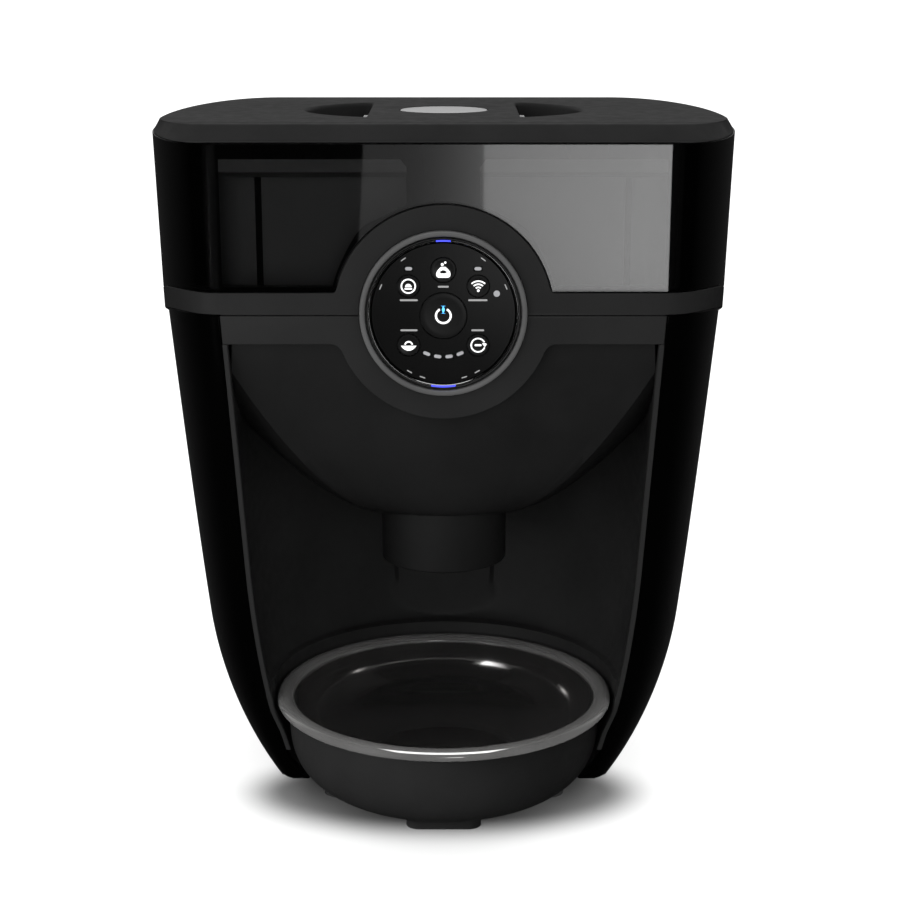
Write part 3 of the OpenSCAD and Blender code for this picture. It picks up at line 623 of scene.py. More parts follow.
def alcove_lips():
    """Thin light edge along the inside of each side shell."""
    width = 2.7
    section = [(0, 0.5), (width - 0.5, 0.5), (width, 1.1), (width, 6), (0, 6)]
    solid = Solid()
    for side in (-1, 1):
        solid.beam([[(side * (inner_edge(z) - 0.12 - du), front_y(z) + dv, z) for du, dv in section]
                    for z in steps(LIP_FOOT, PANEL_Z - 0.2, 60)])
    make("alcove_lips", solid, front_satin, "housing")


def rear_cover():
    """Satin cover across the back."""
    angles = steps(REAR_SPLIT, 180, 14)

    def row(z, inset):
        return both_sides([body_point(z, a, inset, inset) for a in angles])

    top = BAND_Z - BAND_DIP - GAP
    levels = [mix(FLOOR_GAP, top, (k / 40) ** 1.35) for k in range(41)]
    solid = Solid()
    solid.wall([row(z, 0) for z in levels], [row(z, WALL) for z in levels])
    cover = make("back_cover", solid, cover_satin, "housing", ["rear_cover"], 0.5)
    cut_holes(cover)


def cut_holes(cover):
    """Cuts the door's opening, the screws' counterbores and the inlet's hole."""
    door_low, door_high = span("battery_door")
    inlet_low, inlet_high = span("dc_inlet")
    tool = Solid()
    x0, x1 = door_low[0] - GAP, door_high[0] + GAP
    z0, z1 = door_low[2] - GAP, door_high[2] + GAP
    tool.beam([[(x0, y, z0), (x1, y, z0), (x1, y, z1), (x0, y, z1)] for y in (BACK - 8, BACK + 4)])
    inlet = ((inlet_low[0] + inlet_high[0]) / 2, (inlet_low[2] + inlet_high[2]) / 2)
    holes = [(*inlet, (inlet_high[0] - inlet_low[0]) / 2 + 0.15, 12)]
    holes += [(x, z, 3.5, 2.2) for x, z in screw_places()]
    for x, z, r, depth in holes:
        tool.lathe([(r, BACK - depth), (r, BACK + 4)], lambda u, v, w, x=x, z=z: (x + u, w, z + v), 40, False)
    cutter = solid_object("cutter", tool)
    cut = cover.modifiers.new("cut", "BOOLEAN")
    cut.operation = "DIFFERENCE"
    cut.solver = "EXACT"
    cut.object = cutter
    bake(cover)
    bpy.data.objects.remove(cutter)


def screw_places():
    """Centres (x, z) of the screw heads, from the loose parts of their node."""
    groups = []
    for v in frame["nodes"]["rear_screws"].data.vertices:
        x, z = v.co.x / MM, v.co.z / MM
        near = [g for g in groups if abs(g[0][0] - x) < 9 and abs(g[0][1] - z) < 9]
        if near:
            near[0].append((x, z))
        else:
            groups.append([(x, z)])
    return [[(min(values) + max(values)) / 2 for values in zip(*group)] for group in groups]


def front_point(x, z, inset):
    return x, front_y(z) + inset, z


def dial_to_front(u, v):
    """x and z of a point of the dial's plane."""
    point = dial_point(u, v, 0)
    return point[0], point[2]


def circle_x(r, z):
    """Half-width at height z of a circle round the dial."""
    v = (z - DIAL_Z) / math.cos(LEAN)
    return math.sqrt(r * r - v * v)


def dial_arc(r, z, over, n=96):
    """Arc of a circle round the dial that ends at a level, left to right, over or under the dial."""
    a1 = math.degrees(math.atan2(circle_x(r, z), z - DIAL_Z))
    a0 = -a1 if over else 360 - a1
    return [dial_to_front(r * sin(a), r * cos(a)) for a in steps(a0, a1, n)]


def front_sheet(solid, loop):
    """Front and back faces of a plate in the leaning front plane."""
    outer = solid.row([front_point(x, z, 0) for x, z in loop])
    inner = solid.row([front_point(x, z, WALL) for x, z in loop])
    solid.cap(outer)
    solid.cap(inner)
    return outer, inner


def shield_edge(z, over, reach):
    """Edge of the shield above or below a level, left to right, with its shoulders rounded."""
    shield = dial_arc(SHIELD_R, z, over)
    corner = shield[0]
    kept = [p for p in shield if math.dist(p, corner) > reach and math.dist(p, shield[-1]) > reach]
    join = bend((corner[0] - reach, z), corner, kept[0])
    return join + kept[1:-1] + [(-x, z) for x, z in reversed(join)]


def band():
    """The band round the hopper with the upper half of the dial's shield, one moulding."""
    high = WINDOW_Z - GAP
    low_x, high_x = crease_x(BAND_Z), crease_x(high)
    hole = dial_arc(BEZEL_HOLE, SEAM_Z, True)
    loop = [(-low_x, BAND_Z), (-low_x + 2, SEAM_Z)] + hole + [(low_x - 2, SEAM_Z), (low_x, BAND_Z)]
    loop += [(high_x, high)] + list(reversed(shield_edge(high, True, 2.0))) + [(-high_x, high)]
    solid = Solid()
    solid.strip(*front_sheet(solid, loop), skipped=(len(loop) - 1, loop.index((low_x, BAND_Z))))

    def side_row(z, inset):
        return [(x, y, z - dip(y)) for x, y in upper_ring(z, inset)]

    levels = (BAND_Z, high)
    solid.wall([side_row(z, 0) for z in levels], [side_row(z, WALL) for z in levels], ends=False)
    make("band_and_shield", solid, front_satin, "housing", ["mid_band"], 0.45)


def panel():
    """The plate under the band with the lower half of the dial's shield."""
    high = SEAM_Z - GAP
    low_x, high_x = crease_x(PANEL_Z) - GAP, crease_x(high) - GAP
    hole = dial_arc(BEZEL_HOLE, high, False)
    loop = [(-high_x, high), (-low_x, PANEL_Z)] + shield_edge(PANEL_Z, False, 5.0)
    loop += [(low_x, PANEL_Z), (high_x, high)] + list(reversed(hole))
    solid = Solid()
    solid.strip(*front_sheet(solid, loop))
    make("panel_and_shield", solid, front_satin, "housing", ["front_panel"], 0.45)


def pane_crease(z):
    """Where the flat front of the window begins to round into its side, a little inside the housing's."""
    return crease_x(z) - 1.0 - 5.0 * clamp01((z - WINDOW_Z) / (RIM_Z - WINDOW_Z))


def pane_ring(z, inset, crease_out=0, n=48):
    return outline(pane_crease(z) + crease_out, upper_x(z) - inset, front_y(z) + inset, BACK - inset, n)


def window():
    """The smoky window: a front with the dial's arch cut out, and the sides and back round the hopper."""
    levels = steps(0, 1, 8)
    arch = dial_arc(SHIELD_R + GAP, WINDOW_Z, True)
    right = [(pane_crease(z), z) for z in (mix(WINDOW_Z, RIM_Z, s) for s in levels)]
    loop = arch + both_sides(right)
    first, middle = len(arch), len(arch) + len(right)
    solid = Solid()
    open_sides = (*range(first, middle - 1), *range(middle, len(loop) - 1))
    solid.strip(*front_sheet(solid, loop), skipped=open_sides)

    def row(s, inset):
        ring = pane_ring(mix(WINDOW_Z, RIM_Z, s), inset)
        return [(x, y, mix(WINDOW_Z - dip(y), RIM_Z, s)) for x, y in ring]

    solid.wall([row(s, 0) for s in levels], [row(s, WALL) for s in levels], ends=False)
    make("smoky_window", solid, window_smoke, "housing", ["hopper_window"], 0.5)


def window_mask():
    """Black border behind the window: a strip along the rim and the foot, a bridge over the dial and an
    edge along the shield, which leave a pane on each side."""
    strip = 8.0
    foot_width = 2.2
    bridge = 18.5
    back, thick = WALL + 0.04, 0.2
    edge_in = 1.5
    z_top, z_low = RIM_Z - strip, WINDOW_Z + foot_width
    arch = [(x, z + bump(x)) for x, z in dial_arc(SHIELD_R + 2.2, z_low, True, 72) if x < 0.5 - bridge]
    pane = arch + [(-bridge, arch[-1][1] + 1.0), (-bridge, z_top - 4.0), (-bridge - 3, z_top)]
    pane += [(edge_in - pane_crease(z_top), z_top), (edge_in - pane_crease(z_low), z_low)]
    rim = [(pane_crease(WINDOW_Z), WINDOW_Z + 0.2), (pane_crease(RIM_Z), RIM_Z - 0.5)]
    loop = dial_arc(SHIELD_R + 1.0, WINDOW_Z + 0.2, True, 72) + both_sides(rim)
    solid = Solid()
    solid.plate([loop, pane, [(-x, z) for x, z in reversed(pane)]],
                lambda x, z, w: front_point(x, z, -w), -back - thick, -back)
    make("window_mask", solid, mask_black, "housing")


def window_lining():
    """Dark lining of the window's sides and back, and a black shelf at its foot round the hopper: painted
    shade that stands in for the dark inside of the housing below the window.
    """
    back, thick, shelf = WALL + 0.04, 0.2, 34

    def row(s, inset):
        z = mix(WINDOW_Z + 0.3, RIM_Z - 0.4, s)
        return [(x, y, z - dip(y) * (1 - s)) for x, y in pane_ring(z, inset)]

    solid = Solid()
    levels = steps(0, 1, 8)
    solid.wall([row(s, back) for s in levels], [row(s, back + thick) for s in levels])
    make("window_lining", solid, lining_black, "housing")

    def shelf_edge(inset):
        """Outline with a notch in its front that leaves room for the dial's housing."""
        ring = upper_ring(WINDOW_Z, inset)
        y = ring[0][1]
        deep, half = max(y, DIAL_BACK + 0.8), 46
        return ring + [(-half - 4, y), (-half, deep), (half, deep), (half + 4, y)]

    # Painted shade: the shelf is black so that the view down past the hopper's lower corners stays dark.
    shade_shelf = Solid()
    edge = [[(x, y, WINDOW_Z + 0.4 + up - dip(y)) for x, y in shelf_edge(inset)]
            for up, inset in ((0, back), (0.8, back), (0.8, back + shelf), (0, back + shelf))]
    shade_shelf.loft(edge + edge[:1])
    make("window_ledge", shade_shelf, mask_black, "housing")


def bump(x):
    """Extra width of the border at the shield's shoulder."""
    return 3.0 * math.exp(-((abs(x) - 42) / 7) ** 2)


def tank():
    """The hopper: a throat over the drum, a straight box and a shoulder out to the window's rim."""
    throat_z, waist_z, shoulder_z = 243, 287, 348
    box_top, box_front = shoulder_z - 3, -53
    thick, draft = 2.5, 2
    rim_in = WALL + GAP
    collar, collar_out = 2.5, 4.2

    def flat(ring, z):
        return [(x, y, z) for x, y in ring]

    def throat(z, inset):
        return flat(outline(24 - inset, 33 - inset, DRUM_Y - 30 + inset, DRUM_Y + 30 - inset), z)

    def box(z, grow):
        return flat(outline(97 + grow, 150 + grow, box_front - grow, 132 + grow), z)

    def shoulder(z, inset):
        inset += 8
        front, back = front_y(z) + inset, BACK - inset
        return flat(outline(pane_crease(z) - inset, upper_x(z) + 1 - inset, front, back), z)

    def rim(z, inset, crease_out=0):
        return flat(pane_ring(z, inset, crease_out), z)

    outer = [throat(throat_z, 0), throat(throat_z + 6, 0), box(waist_z, -draft), box(box_top, 0)]
    outer += [shoulder(shoulder_z, 0), rim(RIM_Z - 14.5, rim_in), rim(RIM_Z - GAP, rim_in)]
    inner = [throat(throat_z, thick), throat(throat_z + 7, thick)]
    inner += [box(waist_z + 1, -draft - thick), box(box_top + 1, -thick), shoulder(shoulder_z + 1.5, thick)]
    inner += [rim(z, rim_in + collar, collar_out) for z in (RIM_Z - 13.5, RIM_Z - GAP)]
    solid = Solid()
    solid.wall(outer, inner, True)
    make("hopper", solid, tank_plastic, "housing", ["hopper_tank"], 1.0)
    # Painted shade: thin black strips on the box's two front corners stand in for the shade where the box
    # turns away.
    corners = Solid()
    half = 1.7
    for x in (-95.5, 95.5):
        section = [(x - half, -0.7), (x + half, -0.7), (x + half, 0.5), (x - half, 0.5)]
        corners.beam([[(u, y + v, z) for u, v in section]
                      for y, z in ((box_front + draft, waist_z), (box_front, box_top))])
    make("hopper_corners", corners, mask_black, "housing")


# ---- alcove ----

WELL_TOP = 70                          # edge of the round well that the tray stands in
COVE_FOOT, COVE_RISE = 70.5, 26        # curve from the well out to the alcove's wall
RIB_HALF = 30.5


def well_r(z):
    return RIM_R + 1.6 - round_in(z, 30, 68)


def cove(z):
    return math.sqrt(1 - (1 - clamp01((z - COVE_FOOT) / COVE_RISE)) ** 2)


def alcove_x(z):
    if z < WELL_TOP:
        return well_r(z)
    return mix(well_r(WELL_TOP) + 2, min(ALCOVE_R, crease_x(z) + 3), cove(z))


def alcove_y(z):
    return well_r(z) if z < WELL_TOP else mix(well_r(WELL_TOP) + 5, ALCOVE_R, cove(z))


def rib_back(x, z):
    """The wall's furthest y where the rib behind the nozzle stands in front of it."""
    if z < COVE_FOOT:
        return math.inf
    half = RIB_HALF - 3 + 16 * clamp01((97 - z) / COVE_RISE) ** 2
    return 52 + max(0, abs(x) - half) * 2


def alcove_start(z):
    return crease_x(z) + 0.6 - 3 * clamp01((40 - z) / 30)


def alcove_plan(z, out, n_front=12, n_arc=120):
    """Plan of the wall from the right-hand crease round the back to the left-hand crease."""
    made = []
    edge_y = front_y(z) + WALL + 1 + 12 * clamp01((26 - z) / 20)
    for i in range(n_front):
        s = i / n_front
        made.append((mix(alcove_start(z), alcove_x(z), s) + out, mix(edge_y, BOWL_Y, s)))
    for i in range(n_arc + 1):
        a = 180 * i / n_arc
        x = (alcove_x(z) + out) * cos(a)
        y = BOWL_Y + (alcove_y(z) + out) * sin(a)
        made.append((x, min(y, rib_back(x, z) + out)))
    return made + [(-x, y) for x, y in reversed(made[:n_front])]


def cowl_edge(y):
    """Height of the line where the alcove's wall meets the cowl."""
    t = clamp01((55 - y) / 131)
    return 139 + 92 * t ** 0.62 + 30 * t ** 8


def liner():
    """The alcove's wall: a well for the tray, a cove and the round recess up to the cowl."""
    thick = 2.2
    levels = [7, 10, 14, 18, 23, 28, 34, 40, 48, 56, 63, 69.4, 69.9, 70.5, 70.8, 71.5]
    levels += [73, 75, 78, 82, 86, 90, 94, 97]
    tall = 24

    def lifted(z, out):
        """The wall's ring at a level, raised at the front with the shells' lower edge."""
        heights = [z + (foot(y) - FLOOR_GAP) * clamp01((40 - z) / 33) for x, y in alcove_plan(z, out)]
        return [(*alcove_plan(h, out)[i], h) for i, h in enumerate(heights)]

    def grid(out):
        made = [lifted(z, out) for z in levels]
        high = alcove_plan(190, out)
        for k in range(tall + 1):
            heights = [mix(97.5, cowl_edge(y) + 7, k / tall) for x, y in high]
            made.append([(*alcove_plan(h, out)[i], h) for i, h in enumerate(heights)])
        return made

    solid = Solid()
    solid.wall(grid(thick), grid(0))
    make("alcove_wall", solid, alcove_matte, "housing", ["alcove_liner"])


def cowl():
    """The roof of the alcove, which narrows down to the nozzle."""
    thick = 2.4
    front_edge = front_y(PANEL_Z) + WALL + 0.6

    def plate_foot(x):
        if abs(x) < SHIELD_R - 2:
            return min(PANEL_Z, DIAL_Z - math.sqrt(SHIELD_R ** 2 - x * x))
        return PANEL_Z

    def panel_edge(x):
        near = [plate_foot(x + dx) for dx in range(-24, 25, 4)]
        return min(PANEL_Z, sum(near) / len(near) + 8)

    wall_points = [(x, y, cowl_edge(y)) for x, y in alcove_plan(190, 0.4) if y > front_edge + 1]
    corner = wall_points[0]
    edge = list(wall_points)
    for x in steps(-corner[0] + 1, corner[0] - 1, 60):
        edge.append((x, front_y(panel_edge(x)) + WALL + 0.6, panel_edge(x) + 1))
    neck_r = NOZZLE_R + 0.6
    neck_z, neck_lean = 155, 7

    def neck(p):
        dx, dy = p[0], p[1] - DRUM_Y
        far = math.hypot(dx, dy)
        return dx / far * neck_r, DRUM_Y + dy / far * neck_r, neck_z - neck_lean * dy / far

    def row(s, up):
        pairs = [(neck(p), p) for p in edge]
        return [(mix(n[0], p[0], s), mix(n[1], p[1], s), mix(n[2], p[2], s ** 1.6) + up) for n, p in pairs]

    shares = list(reversed(steps(0, 1, 36)))
    solid = Solid()
    solid.wall([row(s, 0) for s in shares], [row(s, thick) for s in shares], True)
    make("cowl", solid, cowl_matte, "housing", ["funnel_cowl"])


def nozzle():
    """Spout with a rolled mouth."""
    thick = 2.5
    lip = 1.2
    r0, r1 = NOZZLE_R - thick, NOZZLE_R
    top = nozzle_high[2]
    profile = [(r0, top), (r0, NOZZLE_MOUTH + lip)]
    profile += arc(r0 + lip, NOZZLE_MOUTH + lip, lip, 270, 180)
    profile += arc(r1 - lip, NOZZLE_MOUTH + lip, lip, 180, 90)
    profile += [(r1, top)]
    solid = Solid()
    solid.lathe(profile, upright(0, DRUM_Y))
    make("nozzle", solid, nozzle_matte, "housing", ["food_nozzle"])


def base():
    """Floor of the housing."""
    outer = outline(crease_x(FLOOR_GAP) - 2, lower_x(FLOOR_GAP) - skin(FLOOR_GAP) - 0.5, -30, BACK - WALL - 1)
    solid = Solid()
    solid.plate([outer], lambda x, y, z: (x, y, z), FLOOR_GAP, 6.5)
    make("base", solid, alcove_matte, "housing", ["base_plate"], 0.6)


def tongue():
    """Front of the base plate, which carries the tray and flares out under it."""
    half, r, flare, rear = 20.0, 7.0, 4.0, -25
    front = span("base_plate")[0][1]
    loop = [(-half, rear), (-half, front + r)] + arc(-half + r, front + r, r, 270, 180, 8)
    loop += arc(half - r, front + r, r, 180, 90, 8) + [(half, rear)]
    rows = []
    for s in steps(0, 1, 8):
        z = mix(GAP, TRAY_LOW - 0.1, s)
        grow = flare * (1 - math.sqrt(1 - s * s)) - 0.2
        forward = min(grow, 2.2)
        rows.append([(x + math.copysign(grow, x), y - forward * clamp01((BOWL_Y - y) / 20), z)
                     for x, y in loop])
    solid = Solid()
    solid.beam(rows)
    make("tongue", solid, tray_satin, "housing")


# ---- dial ----

BUTTONS = {"power_button": (0, -0.8, 12), "feed_button": (0, 22.9, 6.4), "mode_button": (-17.8, 14.6, 5.7),
           "wireless_button": (17.8, 14.6, 5.7), "portion_button": (-17.8, -16.2, 5.7),
           "schedule_button": (17.8, -16.2, 5.7)}
PANEL_FACE = 1.4
BUTTON_FACE = 1.8
CAP_FACE = BUTTON_FACE - 0.2           # level of the legends in the caps' hollows
PRINT = 0.06                           # height of the printed legends


def bezel():
    """Rounded ring round the dial."""
    r0, r1 = 40.2, 43.0
    high = 3.2
    r = 1.25
    profile = [(r0, -WALL), (r0, high - r)]
    profile += arc(r0 + r, high - r, r, 270, 360)
    profile += arc(r1 - r, high - r, r, 0, 90)
    profile += [(r1, -WALL)]
    solid = Solid()
    solid.lathe(profile, dial_point, 160)
    make("bezel", solid, bezel_satin, "housing", ["dial_bezel"])


def light_ring():
    """Bright ring inside the bezel, with its two lit arcs."""
    r0, r1, high = 36.9, 39.4, 2.0
    slack = 0.15
    r = (r1 - r0) / 2 - slack
    profile = [(r0 + slack, -WALL), (r0 + slack, high - r)]
    profile += arc(r0 + slack + r, high - r, r, 270, 450, 12)
    profile += [(r1 - slack, -WALL)]
    solid = Solid()
    solid.lathe(profile, dial_point, 160)
    make("ring", solid, ring_chrome, "housing", ["light_ring"])
    glow = Solid()
    for middle, half in ((0, 5.5), (180, 9.5)):
        section = [(r0 + 0.75, 1.85), (r1 - 1.0, 1.85), (r1 - 1.0, 2.12), (r0 + 0.75, 2.12)]
        glow.beam([[dial_point(r * sin(a), r * cos(a), h) for r, h in section]
                   for a in steps(middle - half, middle + half, 12)])
    make("ring_glow", glow, light_blue, "housing")


def button(name):
    """Cap of a push button with a slightly hollow face."""
    cx, cy, r = BUTTONS[name]
    back, edge, dish = -3.8, 0.5, 0.25
    hollow = BUTTON_FACE - dish
    profile = [(0.4, back), (r + 1, back), (r + 1, back + 1.2), (r, back + 1.2), (r, BUTTON_FACE - edge)]
    profile += arc(r - edge, BUTTON_FACE - edge, edge, 90, 0, 4)
    profile += [(r * 0.75, BUTTON_FACE - dish * 0.6), (r * 0.4, hollow), (0.4, hollow)]
    solid = Solid()
    solid.lathe(profile, lambda u, v, w: dial_point(cx + u, cy + v, w), 64, False)
    make(name + "_cap", solid, button_gloss, name, [name])


def legend(name, body, material, shapes, face):
    """Printed mark: each shape is an outline followed by its holes."""
    solid = Solid()
    for loops in shapes:
        solid.plate(loops, dial_point, face - 0.3, face + PRINT)
    make(name, solid, material, body)


def arc_band(cx, cy, r, width, a0, a1, n=20):
    return [arc(cx, cy, r, a0, a1, n) + arc(cx, cy, r - width, a1, a0, n)]


def bar(cx, cy, w, h, turn=0):
    """Bar with round ends, turned clockwise."""
    r = h / 2
    points = arc(-w / 2 + r, 0, r, 180, 360) + arc(w / 2 - r, 0, r, 0, 180)
    return [[(cx + x * cos(turn) + y * sin(turn), cy - x * sin(turn) + y * cos(turn)) for x, y in points]]


def power_ring(cx, cy):
    return [arc_band(cx, cy, 4.3, 1.05, 28, 332, 40)]


def power_bar(cx, cy):
    return [bar(cx, cy + 3.2, 1.5, 3.9)]


def feed_mark(cx, cy):
    """A sack with an open mouth and two pieces of food over it."""
    left = bend((cx - 1.1, cy + 1.7), (cx - 4.0, cy - 0.6), (cx - 3.6, cy - 2.6))
    left += bend((cx - 3.6, cy - 2.6), (cx - 3.4, cy - 3.9), (cx - 1.8, cy - 3.9))
    sack = left + [(2 * cx - x, y) for x, y in reversed(left)]
    mouth = bend((cx - 1.9, cy - 0.9), (cx, cy + 0.9), (cx + 1.9, cy - 0.9), 8)
    mouth += [(cx + 1.2, cy - 1.7), (cx - 1.2, cy - 1.7)]
    return [[sack, mouth], [circle(cx - 0.5, cy + 2.9, 0.75, 12)], [circle(cx + 1.0, cy + 3.9, 0.6, 12)]]


def mode_mark(cx, cy):
    """A ring with a dome on a bar."""
    ring = [circle(cx, cy, 3.9, 40), circle(cx, cy, 3.9 - 0.75, 40)]
    return [ring, [arc(cx, cy - 0.5, 1.7, -90, 90, 12)], bar(cx, cy - 1.35, 4.0, 0.8)]


def wireless_mark(cx, cy):
    waves = [arc_band(cx, cy - 2.4, wave, 0.75, -43, 43) for wave in (2.2, 3.8, 5.4)]
    return waves + [[circle(cx, cy - 2.3, 0.7, 14)]]


def portion_mark(cx, cy):
    """A bowl with a heap on it."""
    dish = bend((cx - 4.0, cy - 0.3), (cx - 2.2, cy - 3.0), (cx, cy - 2.9))
    dish += [(2 * cx - x, y) for x, y in reversed(dish[:-1])]
    return [[dish], arc_band(cx, cy - 0.1, 2.3, 0.8, -78, 78, 16)]


def schedule_mark(cx, cy):
    """A round arrow with a bar in it."""
    head = [(cx + 4.7, cy + 0.9), (cx + 2.0, cy + 1.0), (cx + 3.5, cy - 1.0)]
    return [arc_band(cx, cy, 3.9, 0.75, 110, 425, 40), [head], bar(cx, cy, 3.6, 1.0)]


MARKS = {"power_ring": (power_ring, legend_white), "power_bar": (power_bar, light_cyan),
         "feed_mark": (feed_mark, legend_white), "mode_mark": (mode_mark, legend_white),
         "wireless_mark": (wireless_mark, legend_white), "portion_mark": (portion_mark, legend_white),
         "schedule_mark": (schedule_mark, legend_white)}


def legends():
    """Marks on the buttons, and the labels, indicator lights and ticks on the panel."""
    for name, (mark, material) in MARKS.items():
        body = name.split("_")[0] + "_button"
        legend(name, body, material, mark(*BUTTONS[body][:2]), CAP_FACE)
    labels = [(0, 14.3, 5.6), (-17.6, 7.3, 9.2), (17.6, 7.3, 9.8), (-17.6, -8.4, 8.8), (17.6, -8.4, 6.6)]
    legend("panel_labels", "housing", label_grey, [bar(x, y, w, 0.95) for x, y, w in labels], PANEL_FACE)
    lamps = [bar(side * 17.6, 23.6, 3.6, 1.7) for side in (-1, 1)]
    lamps += [bar(22.4 * sin(a), 22.4 * cos(a), 3.8, 1.7, a - 180) for a in (157.5, 172.5, 187.5, 202.5)]
    legend("panel_lamps", "housing", light_grey, lamps, PANEL_FACE)
    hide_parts("indicator_lights")
    ticks = [bar(34.9 * sin(a), 34.9 * cos(a), 3.0, 0.55, a)
             for a in (-66, -35.5, 35.5, 66, 150, 162, 198, 210)]
    legend("panel_ticks", "housing", label_grey, ticks, PANEL_FACE)


# ---- lid ----

def lid_top(inset, n):
    """Outline of the lid's flat top: nearer the rim at the sides and rounder at the back corners."""
    side = upper_x(RIM_Z) - 9.5 - inset
    front, middle, rear = RIM_FRONT + 14.5 + inset, -20, BACK - 16.8 - inset
    right = []
    for a in steps(0, 180, n):
        corner = FLAT_HALF - (2 if a < 90 else 21.5)
        run = middle - front if a < 90 else rear - middle
        right.append((corner + (side - corner) * sin(a), middle - run * cos(a)))
    return both_sides(right)


def lid():
    """Bevelled slab with two finger pockets beside the handle bar and a sunk round for the badge."""
    n = 72
    edge_z = RIM_Z + 1.5
    ceiling = TOP - 4.0
    badge_r = 24.5
    solid = Solid()

    def ring(inset, z):
        return [(x, y, z) for x, y in upper_ring(RIM_Z, inset, n)]

    def slope(s, z):
        low, high = upper_ring(RIM_Z, 1.6, n), lid_top(0, n)
        return [(mix(a[0], b[0], s), mix(a[1], b[1], s), z) for a, b in zip(low, high)]

    def oval(a, b, z):
        return [(x, y, z) for x, y in oval_loop(a, b)]

    rows = [ring(inset, RIM_Z + z) for inset, z in ((6.5, 0.31), (1.7, 0.31), (1.4, 0.6), (1.5, 1.0))]
    rows += [slope(s, z) for s, z in ((0.02, edge_z - 0.05), (0.06, edge_z + 0.3), (0.9, TOP - 0.72))]
    rows += [slope(s, z) for s, z in ((0.96, TOP - 0.3), (1.03, TOP - 0.06), (1.1, TOP))]
    rings = solid.loft(rows)
    pockets = [pocket(solid, side) for side in (-1, 1)]
    steps_down = ((badge_r + 1.0, 0), (badge_r + 0.3, -0.25), (badge_r, -0.7), (badge_r, -1.6))
    sunk = solid.loft([[(x, y, TOP + z) for x, y in circle(0, LID_Y, r, 96)] for r, z in steps_down])
    solid.cap(sunk[-1])
    solid.fill(rings[-1], *pockets, sunk[0])
    plug = [(8.0, 0.31), (8.0, -12.5), (8.6, -12.5), (11.0, -12.5), (11.0, -2)]
    inner = solid.loft([ring(inset, RIM_Z + z) for inset, z in plug]
                       + [[(x, y, ceiling) for x, y in lid_top(WALL, n)]])
    solid.strip(rings[0], inner[0])
    solid.fill(inner[-1], solid.row(oval(78.4, 62.4, ceiling)))
    pan = solid.loft([oval(78.4, 62.4, z) for z in (ceiling, TOP - 14 - 2.4)])
    solid.cap(pan[-1])
    make("lid_top", solid, lid_satin, "lid", ["lid"], sharp=30)


def oval_loop(a, b, n=96):
    return [(a * cos(t), LID_Y + b * sin(t)) for t in steps(0, 360, n)[:-1]]


def pocket(solid, side):
    """One finger pocket: half an oval beside the bar, with rounded edges. Returns its top ring."""
    bar_x, corner, deep, edge = 41.0, 5.0, 13.0, 2.2

    def loop(shrink):
        a, b = 76 - shrink, 60 - shrink
        start = bar_x + shrink
        t = math.degrees(math.acos(start / a))
        curve = [(a * cos(q), b * sin(q)) for q in steps(-t, t, 64)]
        first, last = curve[0], curve[-1]
        kept = [p for p in curve if math.dist(p, first) > corner and math.dist(p, last) > corner]
        low = bend((first[0], first[1] + corner), first, kept[0], 8)
        high = bend(kept[-1], last, (last[0], last[1] - corner), 8)
        return [(side * x, LID_Y + y) for x, y in low[1:-1] + kept + high[1:-1]]

    rings = arc(-edge, -edge, edge, 0, 90, 7)
    rings += [(0.3, -deep + 3.5), (0.9, -deep + 1.6), (2.2, -deep + 0.5), (4.0, -deep)]
    count = len(loop(-edge))
    made = solid.loft([[(x, y, TOP + drop) for x, y in resample(loop(shrink), count)]
                       for shrink, drop in rings])
    solid.cap(made[-1])
    return made[0]


def resample(points, count):
    """The closed loop again with that many points, evenly spaced."""
    closed = points + [points[0]]
    lengths = [math.dist(a, b) for a, b in zip(closed, closed[1:])]
    total = sum(lengths)
    made = []
    for k in range(count):
        want = total * k / count
        i = 0
        while want > lengths[i]:
            want -= lengths[i]
            i += 1
        s = want / lengths[i] if lengths[i] else 0
        made.append((mix(closed[i][0], closed[i + 1][0], s), mix(closed[i][1], closed[i + 1][1], s)))
    return made


def badge():
    """Plain round badge, slightly domed."""
    r = 24.0
    profile = [(0.5, TOP - 1.5), (r, TOP - 1.5), (r, TOP - 0.6)]
    profile += arc(r - 0.5, TOP - 0.7, 0.5, 90, 0, 4)
    profile += [(r * 0.6, TOP - 0.16), (0.5, TOP - 0.12)]
    solid = Solid()
    solid.lathe(profile, upright(0, LID_Y), 128, False)
    make("badge", solid, badge_metal, "lid", ["lid_badge"])


# ---- bowl and tray ----

def bowl_r(z, r, low, high, power):
    return r * (1 - clamp01((high - z) / (high - low)) ** power) ** (1 / power)


def bowl_curve(r, low, high, power, n=40):
    """Radius and height of a round-bottomed form, from its foot up."""
    made = []
    for a in steps(0, 90, n):
        z = mix(low, high, 1 - cos(a))
        made.append((bowl_r(z, r, low - 0.2, high, power), z))
    return made


def tray():
    """The round tray that the bowl sits in, with a small lip."""
    inner = bowl_curve(TRAY_R - 2.5, TRAY_LOW + 2.5, TRAY_TOP - 0.6, 3.3)
    lip = [(TRAY_R + r, TRAY_TOP + z) for r, z in (
        (-0.35, -3.0), (-0.35, -2.7), (0, -2.4), (0, -0.5), (-0.5, 0), (-2.0, 0))]
    solid = Solid()
    solid.lathe(tray_outside() + lip + list(reversed(inner)), upright(0, BOWL_Y), 160, False)
    make("tray", solid, tray_satin, "bowl_tray", ["bowl_tray"], sharp=50)


